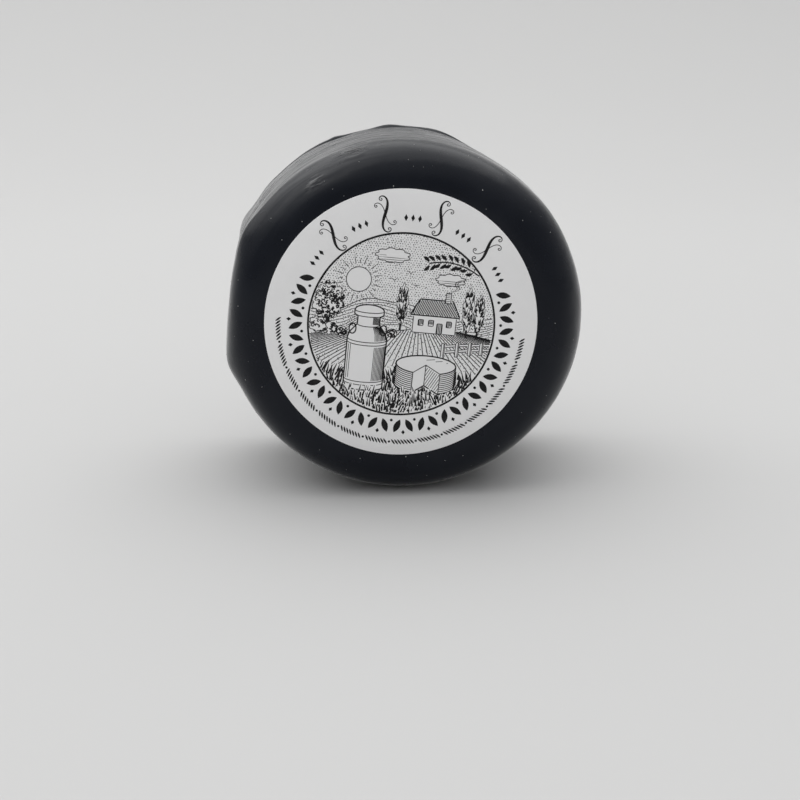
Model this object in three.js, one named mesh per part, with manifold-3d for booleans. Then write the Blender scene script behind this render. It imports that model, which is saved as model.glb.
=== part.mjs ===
// A small waxed truckle of cheddar that stands on its rim, with a round paper label on its face.
// Millimetres, +Z up. The label faces -Y, the base faces +Y, and the origin is on the table under the
// middle of the truckle. Angles go round the face in degrees: 0 is its right side and 90 its top.
import * as THREE from "three";
import { mergeVertices } from "three/addons/utils/BufferGeometryUtils.js";
import Module from "manifold-3d";

// The truckle's own sizes: depth is measured from the base to the labelled face. The side draws in a
// little towards the base.
const TRUCKLE_RADIUS = 39.8;
const TRUCKLE_DEPTH = 45;
const SHOULDER_IN = 9.5;
const SHOULDER_DEEP = 10;
const SIDE_TAPER = 0.4;
const SIDE_BELLY = 0.25;
const REST_FLAT_DEEP = 0.5;

// The foot: the ring of wax that pooled round the base, with a groove between it and the side.
const FOOT_LIP_OUT = 0.1;
const FOOT_LIP_HEIGHT = 2.6;
const LIP_INNER_SHARE = 0.78;
const GROOVE_IN = 0.15;
const GROOVE_HEIGHT = 3.6;
const GROOVE_REACH = 1;
const SIDE_START = 5.4;
const BASE_EDGE_IN = 2.2;
const BASE_HOLLOW = 0.5;
const BASE_RINGS = [0, 0.36, 0.66, 0.88];

// The label.
const LABEL_RADIUS = 29.75;
const LABEL_THICK = 0.15;
const LABEL_OFF_RIGHT = -0.9;
const LABEL_OFF_UP = 0.8;

// How finely the round forms are divided.
const TURN_STEPS = 116;
const SHOULDER_STEPS = 9;
const LIP_STEPS = 6;
const SIDE_STEPS = 6;
const LABEL_STEPS = 96;

// Where the hand-dipped side is out of round. Each place has its angle round the face, its height
// above the base, how far it reaches each way and how far the wax stands out there.
const SIDE_SWELLS = [
  { name: "flat left side", angle: 174.5, height: 32, turn: 13, rise: 16, out: -0.9 },
  { name: "left corner", angle: 194, height: 33, turn: 6, rise: 12, out: 0.85 },
  { name: "upper left foot", angle: 156, height: 1, turn: 7, rise: 12, out: 1.35 },
  { name: "upper left swell", angle: 142, height: 4, turn: 6, rise: 10, out: 0.35 },
  { name: "upper left hollow", angle: 104, height: 4, turn: 13, rise: 10, out: -0.5 },
  { name: "upper right dent", angle: 59, height: 4, turn: 8.5, rise: 14, out: -0.8 },
  { name: "upper right swell", angle: 36, height: 24, turn: 12, rise: 15, out: 0.5 },
  { name: "lower right dent", angle: 322, height: 17, turn: 11, rise: 9, out: -0.45 },
  { name: "lower right swell", angle: 345, height: 12, turn: 12, rise: 12, out: 0.3 },
  { name: "lower left dent", angle: 231, height: 14, turn: 10, rise: 8, out: -0.4 },
];

// Where the foot's lip stands out, and how deep the groove above it is there.
const FOOT_SWELLS = [
  { name: "top lip", angle: 76, turn: 8, out: 0.35, groove: 0.35 },
  { name: "middle top lip", angle: 94.5, turn: 5, out: 0.3, groove: 0.3 },
  { name: "small top lip", angle: 110, turn: 3, out: 0.25, groove: 0.25 },
  { name: "undercut lip", angle: 214, turn: 25, out: 0.7, groove: 0.9 },
  { name: "lower right lip", angle: 318, turn: 14, out: 0.45, groove: 0.55 },
  { name: "right lip", angle: 8, turn: 13, out: 0.4, groove: 0.35 },
];

// Where the side runs smoothly into the foot, with no groove.
const SMOOTH_FEET = [
  { name: "upper left", angle: 134, turn: 17 },
  { name: "left", angle: 160, turn: 14 },
  { name: "upper right", angle: 48, turn: 16 },
];
const SMOOTH_FOOT_END = 13.5;

// The slow waves of the wax round the whole truckle, and those along the foot's edge, which runs up
// and down more than it runs in and out.
const SIDE_WAVES = [
  { cycles: 2, shift: 20, out: 0.12 },
  { cycles: 3, shift: 75, out: 0.1 },
  { cycles: 5, shift: 140, out: 0.07 },
];
const FOOT_WAVES = [
  { cycles: 7, shift: 10, out: 0.1 },
  { cycles: 11, shift: 95, out: 0.09 },
  { cycles: 19, shift: 40, out: 0.06 },
];
const FOOT_EDGE_UP = 1.6;
const FOOT_EDGE_SHIFT = 60;
const WAX_COLOUR = 0x1b1e23;
const PAPER_COLOUR = 0xe8e6e5;

const AXIS_HEIGHT = TRUCKLE_RADIUS - REST_FLAT_DEEP;
const FACE_Y = -TRUCKLE_DEPTH / 2;
const FACE_FLAT_RADIUS = TRUCKLE_RADIUS - SHOULDER_IN;
const FOOT_RADIUS = TRUCKLE_RADIUS - SIDE_TAPER;
const LIP_RADIUS = FOOT_RADIUS + FOOT_LIP_OUT;

// The radii between which each relief grows from nothing to its full share, and the lip's middle and
// reach up the side.
const SIDE_RELIEF_RADII = [FACE_FLAT_RADIUS * 0.8, TRUCKLE_RADIUS - 1.5];
const FOOT_RELIEF_RADII = [TRUCKLE_RADIUS * 0.85, TRUCKLE_RADIUS - 1];
const FOOT_EDGE_RADII = [TRUCKLE_RADIUS * 0.75, TRUCKLE_RADIUS * 0.95];
const LIP_MIDDLE = FOOT_LIP_HEIGHT * 0.45;
const LIP_REACH = FOOT_LIP_HEIGHT * 0.55;

// Points closer than this are one point.
const MERGE_WITHIN = 1e-4;

// A soft hump that is 1 at 0 and dies away past 1.
const hump = (t) => Math.exp(-t * t);

// The shorter way round between two angles, in degrees.
const turnBetween = (a, b) => ((((a - b) % 360) + 540) % 360) - 180;

// The sum of the slow waves at an angle.
function waveAt(waves, angle) {
  return waves.reduce(
    (sum, w) => sum + w.out * Math.cos(THREE.MathUtils.degToRad(w.cycles * angle + w.shift)),
    0,
  );
}

// How far the side stands out of round at an angle and a height above the base.
function sideRelief(angle, height) {
  const swells = SIDE_SWELLS.reduce((sum, s) => {
    const round = hump(turnBetween(angle, s.angle) / s.turn);
    return sum + s.out * round * hump((height - s.height) / s.rise);
  }, 0);
  return swells + waveAt(SIDE_WAVES, angle);
}

// The sum of one property of the foot's swells at an angle.
function footSwell(angle, property) {
  return FOOT_SWELLS.reduce(
    (sum, s) => sum + s[property] * hump(turnBetween(angle, s.angle) / s.turn),
    0,
  );
}

// The wax's profile from the middle of the base to the middle of the face: x is the radius and y the
// height above the base.
function waxProfile() {
  const lipHalf = FOOT_LIP_HEIGHT / 2;
  const points = BASE_RINGS.map((share) => {
    const hollow = BASE_HOLLOW * (1 - share ** 4);
    return new THREE.Vector2(share * (LIP_RADIUS - BASE_EDGE_IN), hollow);
  });
  for (let i = 0; i <= LIP_STEPS; i++) {
    const turn = (Math.PI * i) / LIP_STEPS;
    const least = i > LIP_STEPS / 2 ? LIP_INNER_SHARE : 0;
    const out = BASE_EDGE_IN * Math.max(Math.sin(turn), least);
    const radius = LIP_RADIUS - BASE_EDGE_IN + out;
    points.push(new THREE.Vector2(radius, lipHalf - lipHalf * Math.cos(turn)));
  }
  points.push(new THREE.Vector2(FOOT_RADIUS - GROOVE_IN, GROOVE_HEIGHT));
  const sideEnd = TRUCKLE_DEPTH - SHOULDER_DEEP;
  for (let i = 0; i < SIDE_STEPS; i++) {
    const share = i / SIDE_STEPS;
    const belly = SIDE_BELLY * Math.sin(Math.PI * share);
    const radius = THREE.MathUtils.lerp(FOOT_RADIUS, TRUCKLE_RADIUS, share) + belly;
    points.push(new THREE.Vector2(radius, THREE.MathUtils.lerp(SIDE_START, sideEnd, share)));
  }
  for (let i = 0; i <= SHOULDER_STEPS; i++) {
    const turn = (Math.PI / 2) * (i / SHOULDER_STEPS);
    const radius = FACE_FLAT_RADIUS + SHOULDER_IN * Math.cos(turn);
    points.push(new THREE.Vector2(radius, sideEnd + SHOULDER_DEEP * Math.sin(turn)));
  }
  points.push(new THREE.Vector2(0, TRUCKLE_DEPTH));
  return points;
}

// The relief's share at a point of the profile: all of it on the side, none on the flat face.
function reliefShare(radius, height) {
  const edge = THREE.MathUtils.smoothstep(radius, ...SIDE_RELIEF_RADII);
  const face = THREE.MathUtils.smoothstep(TRUCKLE_DEPTH - height, 0, SHOULDER_DEEP);
  return edge * face;
}

// How smoothly the side runs into the foot at an angle, from 0 to 1.
function footSmoothness(angle) {
  const sum = SMOOTH_FEET.reduce((total, s) => total + hump(turnBetween(angle, s.angle) / s.turn), 0);
  return Math.min(sum, 1);
}

// How much wax fills the groove at a point, where the foot would be quite smooth.
function grooveFill(radius, height) {
  const onSide = radius > FOOT_RADIUS - BASE_EDGE_IN && height < TRUCKLE_DEPTH - SHOULDER_DEEP;
  if (!onSide || height < FOOT_LIP_HEIGHT / 2) {
    return 0;
  }
  const low = 1 - THREE.MathUtils.smoothstep(height, FOOT_LIP_HEIGHT, SMOOTH_FOOT_END);
  return Math.max(FOOT_RADIUS + FOOT_LIP_OUT * low - radius, 0);
}

// The foot's share at a height: its lip, its groove, and how far its lower edge waves up and down.
function footAt(angle, radius, height) {
  const smooth = footSmoothness(angle);
  const lip = hump((height - LIP_MIDDLE) / LIP_REACH);
  const groove = hump((height - GROOVE_HEIGHT) / GROOVE_REACH);
  const outer = THREE.MathUtils.smoothstep(radius, ...FOOT_RELIEF_RADII);
  const out = lip * (footSwell(angle, "out") + (1 - smooth) * waveAt(FOOT_WAVES, angle));
  const inwards = groove * footSwell(angle, "groove") - smooth * grooveFill(radius, height);
  const rim = THREE.MathUtils.smoothstep(radius, ...FOOT_EDGE_RADII);
  const low = 1 - THREE.MathUtils.smoothstep(height, 0, GROOVE_HEIGHT);
  const up = FOOT_EDGE_UP * waveAt(FOOT_WAVES, angle + FOOT_EDGE_SHIFT);
  return { out: outer * (out - inwards), up: rim * low * up };
}

// The turned form with its relief. LatheGeometry turns round Y, so a point's height is its y here.
function waxForm() {
  const form = new THREE.LatheGeometry(waxProfile(), TURN_STEPS);
  form.deleteAttribute("normal");
  form.deleteAttribute("uv");
  const position = form.getAttribute("position");
  const point = new THREE.Vector3();
  for (let i = 0; i < position.count; i++) {
    point.fromBufferAttribute(position, i);
    const radius = Math.hypot(point.x, point.z);
    const height = point.y;
    const angle = THREE.MathUtils.radToDeg(Math.atan2(-point.z, point.x));
    const foot = footAt(angle, radius, height);
    const out = sideRelief(angle, height) * reliefShare(radius, height) + foot.out;
    const scale = radius > 0 ? (radius + out) / radius : 1;
    position.setXYZ(i, point.x * scale, height + foot.up, point.z * scale);
  }
  const turned = mergeVertices(form, MERGE_WITHIN);
  // The face is turned to -Y, and the truckle is set on its rim.
  turned.rotateX(Math.PI);
  turned.translate(0, TRUCKLE_DEPTH / 2, AXIS_HEIGHT);
  return turned;
}

// A closed three.js geometry as a manifold-3d solid.
function solidOf(wasm, geometry) {
  return new wasm.Manifold(
    new wasm.Mesh({
      numProp: 3,
      vertProperties: new Float32Array(geometry.getAttribute("position").array),
      triVerts: new Uint32Array(geometry.index.array),
    }),
  );
}

// A manifold-3d solid as a three.js geometry.
function geometryOf(solid) {
  const mesh = solid.getMesh();
  const geometry = new THREE.BufferGeometry();
  geometry.setAttribute("position", new THREE.BufferAttribute(mesh.vertProperties, 3));
  geometry.setIndex(new THREE.BufferAttribute(mesh.triVerts, 1));
  geometry.computeVertexNormals();
  return geometry;
}

// The whole wax body, with the flat spot that it stands on cut level with the table.
async function waxBody() {
  const wasm = await Module();
  wasm.setup();
  const size = 4 * TRUCKLE_RADIUS;
  const below = new THREE.BoxGeometry(size, size, size);
  below.deleteAttribute("normal");
  below.deleteAttribute("uv");
  below.translate(0, 0, -size / 2);
  const body = solidOf(wasm, waxForm());
  return geometryOf(body.subtract(solidOf(wasm, mergeVertices(below, MERGE_WITHIN))));
}

// A wax truckle, solid right through, because it is uncut.
async function waxTruckle() {
  const wax = new THREE.MeshStandardMaterial({ color: WAX_COLOUR, roughness: 0.45, metalness: 0 });
  const truckle = new THREE.Mesh(await waxBody(), wax);
  truckle.name = "wax_truckle";
  return truckle;
}

// The paper label, which lies on the flat of the face.
function paperLabel() {
  const disc = new THREE.CylinderGeometry(LABEL_RADIUS, LABEL_RADIUS, LABEL_THICK, LABEL_STEPS);
  disc.translate(LABEL_OFF_RIGHT, FACE_Y - LABEL_THICK / 2, AXIS_HEIGHT + LABEL_OFF_UP);
  const paper = new THREE.MeshStandardMaterial({ color: PAPER_COLOUR, roughness: 0.6, metalness: 0 });
  const label = new THREE.Mesh(disc, paper);
  label.name = "paper_label";
  return label;
}

const truckle = new THREE.Group();
truckle.name = "waxed_truckle_standing";
truckle.add(await waxTruckle(), paperLabel());

// The origin is under the middle of the whole thing.
const box = new THREE.Box3().setFromObject(truckle);
const middle = box.getCenter(new THREE.Vector3());
truckle.position.set(-middle.x, -middle.y, 0);

export default truckle;
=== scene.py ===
"""A small waxed truckle of goat cheddar that stands on its rim, dressed for its picture.

The truckle is dipped in near-black wax. A round paper label with an engraved farm picture lies on its
face. Sizes are millimetres until a mesh is made, and angles are degrees. Round the face, an angle of 0 is
its right side and 90 its top.
"""

import logging
import math
from dataclasses import dataclass, field
from enum import Enum

import bpy
import numpy as np
from bpy.types import ID, Material, Mesh, Node, NodeSocket as Socket, NodeTree, Object
from mathutils import Matrix, Vector


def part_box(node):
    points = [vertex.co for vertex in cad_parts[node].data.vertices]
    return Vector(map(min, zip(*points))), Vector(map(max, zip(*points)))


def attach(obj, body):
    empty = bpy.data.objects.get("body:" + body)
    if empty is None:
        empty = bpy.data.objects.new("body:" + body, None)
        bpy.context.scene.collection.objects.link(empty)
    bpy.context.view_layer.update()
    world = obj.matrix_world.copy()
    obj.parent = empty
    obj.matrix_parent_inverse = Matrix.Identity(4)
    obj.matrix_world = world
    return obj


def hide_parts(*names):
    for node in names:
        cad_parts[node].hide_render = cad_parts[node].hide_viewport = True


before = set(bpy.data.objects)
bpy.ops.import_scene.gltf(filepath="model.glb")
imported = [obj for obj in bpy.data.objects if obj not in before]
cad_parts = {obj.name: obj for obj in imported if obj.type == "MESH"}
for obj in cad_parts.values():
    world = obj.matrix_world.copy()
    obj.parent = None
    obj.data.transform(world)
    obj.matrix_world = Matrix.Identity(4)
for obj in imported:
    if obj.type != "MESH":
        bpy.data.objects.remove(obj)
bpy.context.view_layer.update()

MM = 0.001
BODY = "root"

Colour = tuple[float, float, float]
Waves = tuple[float, float, float]
Point2 = tuple[float, float]
Rows = tuple[tuple[float, ...], ...]
PenLine = tuple[np.ndarray, np.ndarray]
Numbers = np.ndarray | float
Inputs = dict[str | int, object]

# Waves in a metre of the wrinkles round the side, which both the skin and its look follow
WRINKLE_WAVES: Waves = (38, 260, 38)

log = logging.getLogger("waxed_truckle")


def hump(t: Numbers) -> Numbers:
    """A soft hump that is 1 at 0 and dies away past 1."""
    return np.exp(-np.square(t))


def smooth_step(value: Numbers, low: float, high: float) -> Numbers:
    """A smooth rise from 0 at low to 1 at high.

    Args:
        value: Where the step is read.
        low: The value at which it starts.
        high: The value at which it ends.

    Returns:
        The height of the step, from 0 to 1.
    """
    t = np.clip((value - low) / (high - low), 0, 1)
    return t * t * (3 - 2 * t)


def turn_between(a: Numbers, b: float) -> Numbers:
    """The shorter way round from angle b to angle a, in degrees."""
    return (a - b + 180) % 360 - 180


def closed_mesh(name: str, points: np.ndarray, faces: list[tuple[int, ...]]) -> Mesh:
    """Makes a smooth closed mesh whose faces point outwards.

    Args:
        name: The mesh's name.
        points: Its points, one row each, in metres.
        faces: The point numbers of each face, all turning the same way.

    Returns:
        The mesh.
    """
    corners = points[[face[:3] for face in faces]]
    volume = np.einsum("ij,ij->", corners[:, 0], np.cross(corners[:, 1], corners[:, 2]))
    if volume < 0:
        faces = [face[::-1] for face in faces]
    mesh = bpy.data.meshes.new(name)
    mesh.from_pydata(points.tolist(), [], faces)
    mesh.shade_smooth()
    return mesh


def turned_mesh(name: str, rings: np.ndarray, first: np.ndarray, last: np.ndarray) -> Mesh:
    """Closes a stack of rings into one mesh.

    Args:
        name: The mesh's name.
        rings: The points, as rings by steps round by three, in metres.
        first: The point in the middle of the first ring.
        last: The point in the middle of the last ring.

    Returns:
        The mesh.
    """
    count, steps = rings.shape[:2]
    points = np.vstack([rings.reshape(-1, 3), first, last])
    start, end = count * steps, count * steps + 1
    faces: list[tuple[int, ...]] = []
    for j in range(steps):
        k = (j + 1) % steps
        faces += [
            (i * steps + j, i * steps + k, (i + 1) * steps + k, (i + 1) * steps + j)
            for i in range(count - 1)
        ]
        faces.append((start, k, j))
        faces.append((end, (count - 1) * steps + j, (count - 1) * steps + k))
    return closed_mesh(name, points, faces)


def add_to_scene(name: str, data: ID) -> Object:
    """Makes an object of a mesh, a light or a camera and links it to the scene.

    Args:
        name: The object's name.
        data: What it shows.

    Returns:
        The object.
    """
    thing = bpy.data.objects.new(name, data)
    bpy.context.scene.collection.objects.link(thing)
    return thing


class NodeCanvas:
    """A node tree, with short calls that add a node and join it to the others."""

    def __init__(self, tree: NodeTree) -> None:
        """Keeps the tree that the calls draw in."""
        self.tree = tree

    def add(self, kind: str, inputs: Inputs | None = None, **settings: object) -> Node:
        """Adds one node.

        Args:
            kind: Blender's name for the kind of node.
            inputs: What each input gets: another node's socket, or a plain value.
            **settings: The node's own settings.

        Returns:
            The new node.
        """
        node = self.tree.nodes.new(kind)
        for name, value in settings.items():
            setattr(node, name, value)
        for key, value in (inputs or {}).items():
            self.feed(node.inputs[key], value)
        return node

    def feed(self, socket: Socket, value: object) -> None:
        """Links a socket to another one, or sets its plain value.

        Args:
            socket: The socket that is fed.
            value: The other socket, or the plain value.
        """
        if isinstance(value, Socket):
            self.tree.links.new(value, socket)
        else:
            socket.default_value = value

    def math(self, operation: str, a: object, b: object = 0.0, clamp: bool = False) -> Socket:
        """Works out one sum of two numbers or sockets.

        Args:
            operation: Blender's name for the sum.
            a: The first number or socket.
            b: The second number or socket.
            clamp: Whether the answer stays between 0 and 1.

        Returns:
            The socket with the answer.
        """
        node = self.add("ShaderNodeMath", {0: a, 1: b}, operation=operation, use_clamp=clamp)
        return node.outputs[0]

    def times(self, a: object, b: object) -> Socket:
        """Multiplies two numbers or sockets."""
        return self.math("MULTIPLY", a, b)

    def less(self, a: object, b: object, clamp: bool = False) -> Socket:
        """Takes the second number or socket from the first."""
        return self.math("SUBTRACT", a, b, clamp)

    def total(self, *parts: object) -> Socket:
        """Adds up numbers or sockets.

        Args:
            *parts: The numbers and sockets, two or more.

        Returns:
            The socket with the answer.
        """
        answer = parts[0]
        for part in parts[1:]:
            answer = self.math("ADD", answer, part)
        return answer

    def noise(self, place: Socket, waves: Waves | float | Socket, detail: float) -> Socket:
        """A soft random pattern, about 0.5 on average.

        Args:
            place: The socket with the position.
            waves: How many waves go in a metre, the same along each axis or its own.
            detail: How many finer layers it has.

        Returns:
            The socket with the pattern.
        """
        if isinstance(waves, tuple):
            place = self.add("ShaderNodeVectorMath", {0: place, 1: waves}, operation="MULTIPLY").outputs[0]
            waves = 1.0
        node = self.add("ShaderNodeTexNoise", {"Vector": place, "Scale": waves, "Detail": detail})
        return node.outputs[0]

    def ramp(self, value: object, low: float, high: float) -> Socket:
        """A rise from 0 at low to 1 at high, smooth and held at both ends."""
        inputs = {"Value": value, "From Min": low, "From Max": high}
        return self.add("ShaderNodeMapRange", inputs, interpolation_type="SMOOTHSTEP").outputs[0]


class GeometryTree(NodeCanvas):
    """A Geometry Nodes tree with named sizes, which grows a plain mesh."""

    def __init__(self, name: str, sizes: dict[str, float | int]) -> None:
        """Starts the tree.

        Args:
            name: The tree's name.
            sizes: Its named inputs and their values. A whole number makes a whole-number input.
        """
        super().__init__(bpy.data.node_groups.new(name, "GeometryNodeTree"))
        self.sizes = sizes
        sockets = self.tree.interface
        sockets.new_socket("Geometry", in_out="INPUT", socket_type="NodeSocketGeometry")
        sockets.new_socket("Geometry", in_out="OUTPUT", socket_type="NodeSocketGeometry")
        for label, value in sizes.items():
            kind = "NodeSocketInt" if isinstance(value, int) else "NodeSocketFloat"
            sockets.new_socket(label, in_out="INPUT", socket_type=kind)
        self.start = self.tree.nodes.new("NodeGroupInput")
        self.end = self.tree.nodes.new("NodeGroupOutput")

    def size(self, label: str) -> Socket:
        """The socket of one named input."""
        return self.start.outputs[label]

    def attribute(self, name: str) -> Socket:
        """The socket of one number that the mesh stores at its points."""
        return self.add("GeometryNodeInputNamedAttribute", {"Name": name}, data_type="FLOAT").outputs[0]

    def repeat(
        self,
        points: Socket,
        shape: Socket,
        scale: Socket,
        turn: Socket | None = None,
    ) -> Socket:
        """Sets one shape at each of many points.

        Args:
            points: The socket with the points.
            shape: The socket with the shape.
            scale: The socket with each one's scale.
            turn: The socket with each one's turn, or None to leave them unturned.

        Returns:
            The socket with the shapes.
        """
        inputs = {"Points": points, "Instance": shape, "Scale": scale}
        if turn is not None:
            inputs["Rotation"] = turn
        return self.add("GeometryNodeInstanceOnPoints", inputs).outputs[0]

    def close(self, geometry: Socket, material: Material) -> None:
        """Ends the tree: real meshes with their material.

        Args:
            geometry: The socket with all that the tree made.
            material: The material that it gets.
        """
        real = self.add("GeometryNodeRealizeInstances", {"Geometry": geometry})
        dressed = self.add("GeometryNodeSetMaterial", {"Geometry": real.outputs[0], "Material": material})
        self.tree.links.new(dressed.outputs[0], self.end.inputs[0])

    def grow(self, name: str, base: Mesh) -> Object:
        """Runs the tree on a mesh.

        Args:
            name: The new piece's name.
            base: The mesh that the tree starts from.

        Returns:
            The piece, with a plain mesh and no modifier.
        """
        piece = add_to_scene(name, base)
        modifier = piece.modifiers.new(self.tree.name, "NODES")
        modifier.node_group = self.tree
        for item in self.tree.interface.items_tree:
            if item.in_out == "INPUT" and item.name in self.sizes:
                modifier[item.identifier] = self.sizes[item.name]
        depsgraph = bpy.context.evaluated_depsgraph_get()
        made = bpy.data.meshes.new_from_object(piece.evaluated_get(depsgraph))
        piece.modifiers.remove(modifier)
        made.name = name
        piece.data = made
        bpy.data.meshes.remove(base)
        return piece


class SurfaceTree(NodeCanvas):
    """A material's tree, with the shader that it feeds and the position that its patterns lie on."""

    def __init__(self, material: Material) -> None:
        """Starts from the material's own shader and the piece's own coordinates."""
        super().__init__(material.node_tree)
        self.shader = material.node_tree.nodes["Principled BSDF"]
        self.place = self.add("ShaderNodeTexCoord").outputs["Object"]

    def mark(self, name: str) -> Socket:
        """The socket of one number that the mesh stores at its points."""
        return self.add("ShaderNodeAttribute", attribute_name=name).outputs["Fac"]

    def blend(self, share: object, first: object, second: Colour) -> Socket:
        """Mixes two colours.

        Args:
            share: The second colour's share, as a number or socket.
            first: The first colour, or the socket with it.
            second: The second colour.

        Returns:
            The socket with the mixed colour.
        """
        if isinstance(first, tuple):
            first = (*first, 1)
        mix = self.add("ShaderNodeMix", {0: share, 6: first, 7: (*second, 1)}, data_type="RGBA")
        return mix.outputs[2]

    def contour(self, pattern: Socket, level: float, reach: float) -> Socket:
        """A thin line where a pattern has one value.

        Args:
            pattern: The pattern that the line follows.
            level: The value at the line.
            reach: How far from that value the line fades out.

        Returns:
            The socket with the line, from 0 to 1.
        """
        away = self.math("ABSOLUTE", self.less(pattern, level))
        return self.less(1.0, self.math("DIVIDE", away, reach), clamp=True)

    def bump(self, relief: Socket, deep: float) -> None:
        """Gives the surface a fine relief.

        Args:
            relief: The socket with the relief, from 0 to 1.
            deep: How deep it is, in millimetres.
        """
        node = self.add("ShaderNodeBump", {"Strength": 1.0, "Distance": deep * MM, "Height": relief})
        self.feed(self.shader.inputs["Normal"], node.outputs[0])


@dataclass(frozen=True)
class Finish:
    """What a surface is made of: the shader's own values, and a pattern that varies them."""

    name: str
    colour: Colour
    roughness: float
    ior: float = 1.45

    def material(self) -> Material:
        """Makes the material."""
        material = bpy.data.materials.new(self.name)
        material.use_nodes = True
        surface = SurfaceTree(material)
        surface.shader.inputs["Base Color"].default_value = (*self.colour, 1)
        surface.shader.inputs["Roughness"].default_value = self.roughness
        surface.shader.inputs["IOR"].default_value = self.ior
        self.pattern(surface)
        return material

    def pattern(self, surface: SurfaceTree) -> None:
        """Varies the colour, the roughness and the surface. Each finish has its own way."""
        raise NotImplementedError

    def tint(self, surface: SurfaceTree, share: Socket, other: Colour) -> None:
        """Turns the finish's colour towards another one, by that share."""
        surface.feed(surface.shader.inputs["Base Color"], surface.blend(share, self.colour, other))


@dataclass(frozen=True)
class BlackWax(Finish):
    """Satin cheese wax: near-black and a little blue, with a faint bloom, streaks and scuffs. Some of its
    pale marks are painted sheen and painted highlights.
    """

    bloom: Colour = (0.0062, 0.0082, 0.0135)
    # Pale grey of rubbed wax, also used for the painted sheen and painted highlights
    rubbed_and_sheen: Colour = (0.36, 0.36, 0.36)
    dusty: float = 0.5
    dust_spread: float = 0.25
    relief_deep: float = 0.25
    # Waves in a metre
    cloud_waves: float = 55
    fine_waves: float = 260
    skin_waves: float = 700
    flow_waves: Waves = (17, 115, 17)
    grain_waves: Waves = (420, 2400, 420)
    brushed_sheen_waves: Waves = (50, 900, 50)
    # Where each mark lies in its pattern, from low to high or by level and reach
    cloud_span: Point2 = (0.42, 0.72)
    streak_sheen_span: Point2 = (0.5, 0.62)
    grain_span: Point2 = (0.4, 0.75)
    brushed_sheen_span: Point2 = (0.2, 0.8)
    crease_line: Point2 = (0.5, 0.03)
    painted_glint_line: Point2 = (0.555, 0.035)
    # How pale each mark is. The scuffs are wear, the streaks and the haze are partly painted sheen, and the
    # glint lines are painted highlights
    pale_streak_sheen: float = 0.04
    pale_painted_glint: float = 0.1
    pale_scuff: float = 0.5
    pale_haze_and_sheen: float = 0.32
    # How rough each mark is, more than the wax where it is smoothest
    smoothest: float = -0.05
    rough_cloud: float = 0.08
    rough_fine: float = 0.06
    rough_painted_glint: float = 0.12
    rough_scuff: float = 0.15
    # How high each mark stands in the relief
    raised_skin: float = 0.08
    raised_lines: float = 1.2
    raised_grains: float = 1.2
    raised_crease: float = -1.4

    def pattern(self, surface: SurfaceTree) -> None:
        """Lays the bloom in soft clouds, and paints the wax pale in streaks, glint lines, scuffs and haze.
        The scuffs are wear, the streaks and the haze are partly rubbed wax and partly painted sheen, and the
        glint lines beside the creases are painted highlights.

        Args:
            surface: The material's tree.
        """
        place, times = surface.place, surface.times
        wrinkled_mask, scuffed, hazed = (surface.mark(name) for name in ("wrinkled", "scuffed", "hazed"))
        cloud = surface.ramp(surface.noise(place, self.cloud_waves, 5), *self.cloud_span)
        flow = surface.noise(place, self.flow_waves, 3)
        crease = times(surface.contour(flow, *self.crease_line), wrinkled_mask)
        # Painted highlight: a thin pale line beside each crease, where the bent wax would catch the light.
        painted_glint = times(surface.contour(flow, *self.painted_glint_line), wrinkled_mask)
        lines = surface.noise(place, WRINKLE_WAVES, 6)
        # Pale streaks along the wrinkles: partly rubbed wax, partly painted sheen where light grazes the
        # wrinkled side.
        streak_sheen = times(surface.ramp(lines, *self.streak_sheen_span), wrinkled_mask)
        grains = surface.ramp(surface.noise(place, self.grain_waves, 2), *self.grain_span)
        scuff = times(grains, scuffed)
        brushed_sheen = surface.ramp(surface.noise(place, self.brushed_sheen_waves, 3), *self.brushed_sheen_span)
        # Pale haze: partly dust bloom on the wax, partly painted sheen that brightens the upper left
        # shoulder.
        haze_sheen = times(hazed, times(brushed_sheen, self.pale_haze_and_sheen))
        pale = surface.math("MAXIMUM", times(streak_sheen, self.pale_streak_sheen), times(painted_glint, self.pale_painted_glint))
        pale = surface.math("MAXIMUM", pale, times(scuff, self.pale_scuff))
        pale = surface.math("ADD", pale, haze_sheen, clamp=True)
        pale = times(pale, surface.less(1.0, crease, clamp=True))
        bloomed = surface.blend(cloud, self.colour, self.bloom)
        rough = surface.total(
            self.roughness + self.smoothest,
            times(cloud, self.rough_cloud),
            times(surface.noise(place, self.fine_waves, 3), self.rough_fine),
            times(painted_glint, self.rough_painted_glint),
            times(scuff, self.rough_scuff),
        )
        relief = surface.total(
            times(surface.noise(place, self.skin_waves, 3), self.raised_skin),
            times(lines, times(wrinkled_mask, self.raised_lines)),
            times(grains, times(scuffed, self.raised_grains)),
            times(crease, self.raised_crease),
        )
        sockets = surface.shader.inputs
        surface.feed(sockets["Base Color"], surface.blend(pale, bloomed, self.rubbed_and_sheen))
        surface.feed(sockets["Roughness"], rough)
        surface.bump(relief, self.relief_deep)
        sockets["Sheen Weight"].default_value = self.dusty
        sockets["Sheen Roughness"].default_value = self.dust_spread


@dataclass(frozen=True)
class LabelPaper(Finish):
    """Smooth white label paper with a fine fibre and a faint mottle."""

    shade: Colour = (0.87, 0.86, 0.86)
    mottle_waves: float = 180
    mottle_span: Point2 = (0.4, 0.75)
    mottle_share: float = 0.25
    fibre_waves: Waves = (2600, 2600, 1500)
    fibre_deep: float = 0.012

    def pattern(self, surface: SurfaceTree) -> None:
        """Mottles the white a little and raises the fibres.

        Args:
            surface: The material's tree.
        """
        mottle = surface.ramp(surface.noise(surface.place, self.mottle_waves, 4), *self.mottle_span)
        self.tint(surface, surface.times(mottle, self.mottle_share), self.shade)
        surface.bump(surface.noise(surface.place, self.fibre_waves, 4), self.fibre_deep)


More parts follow.
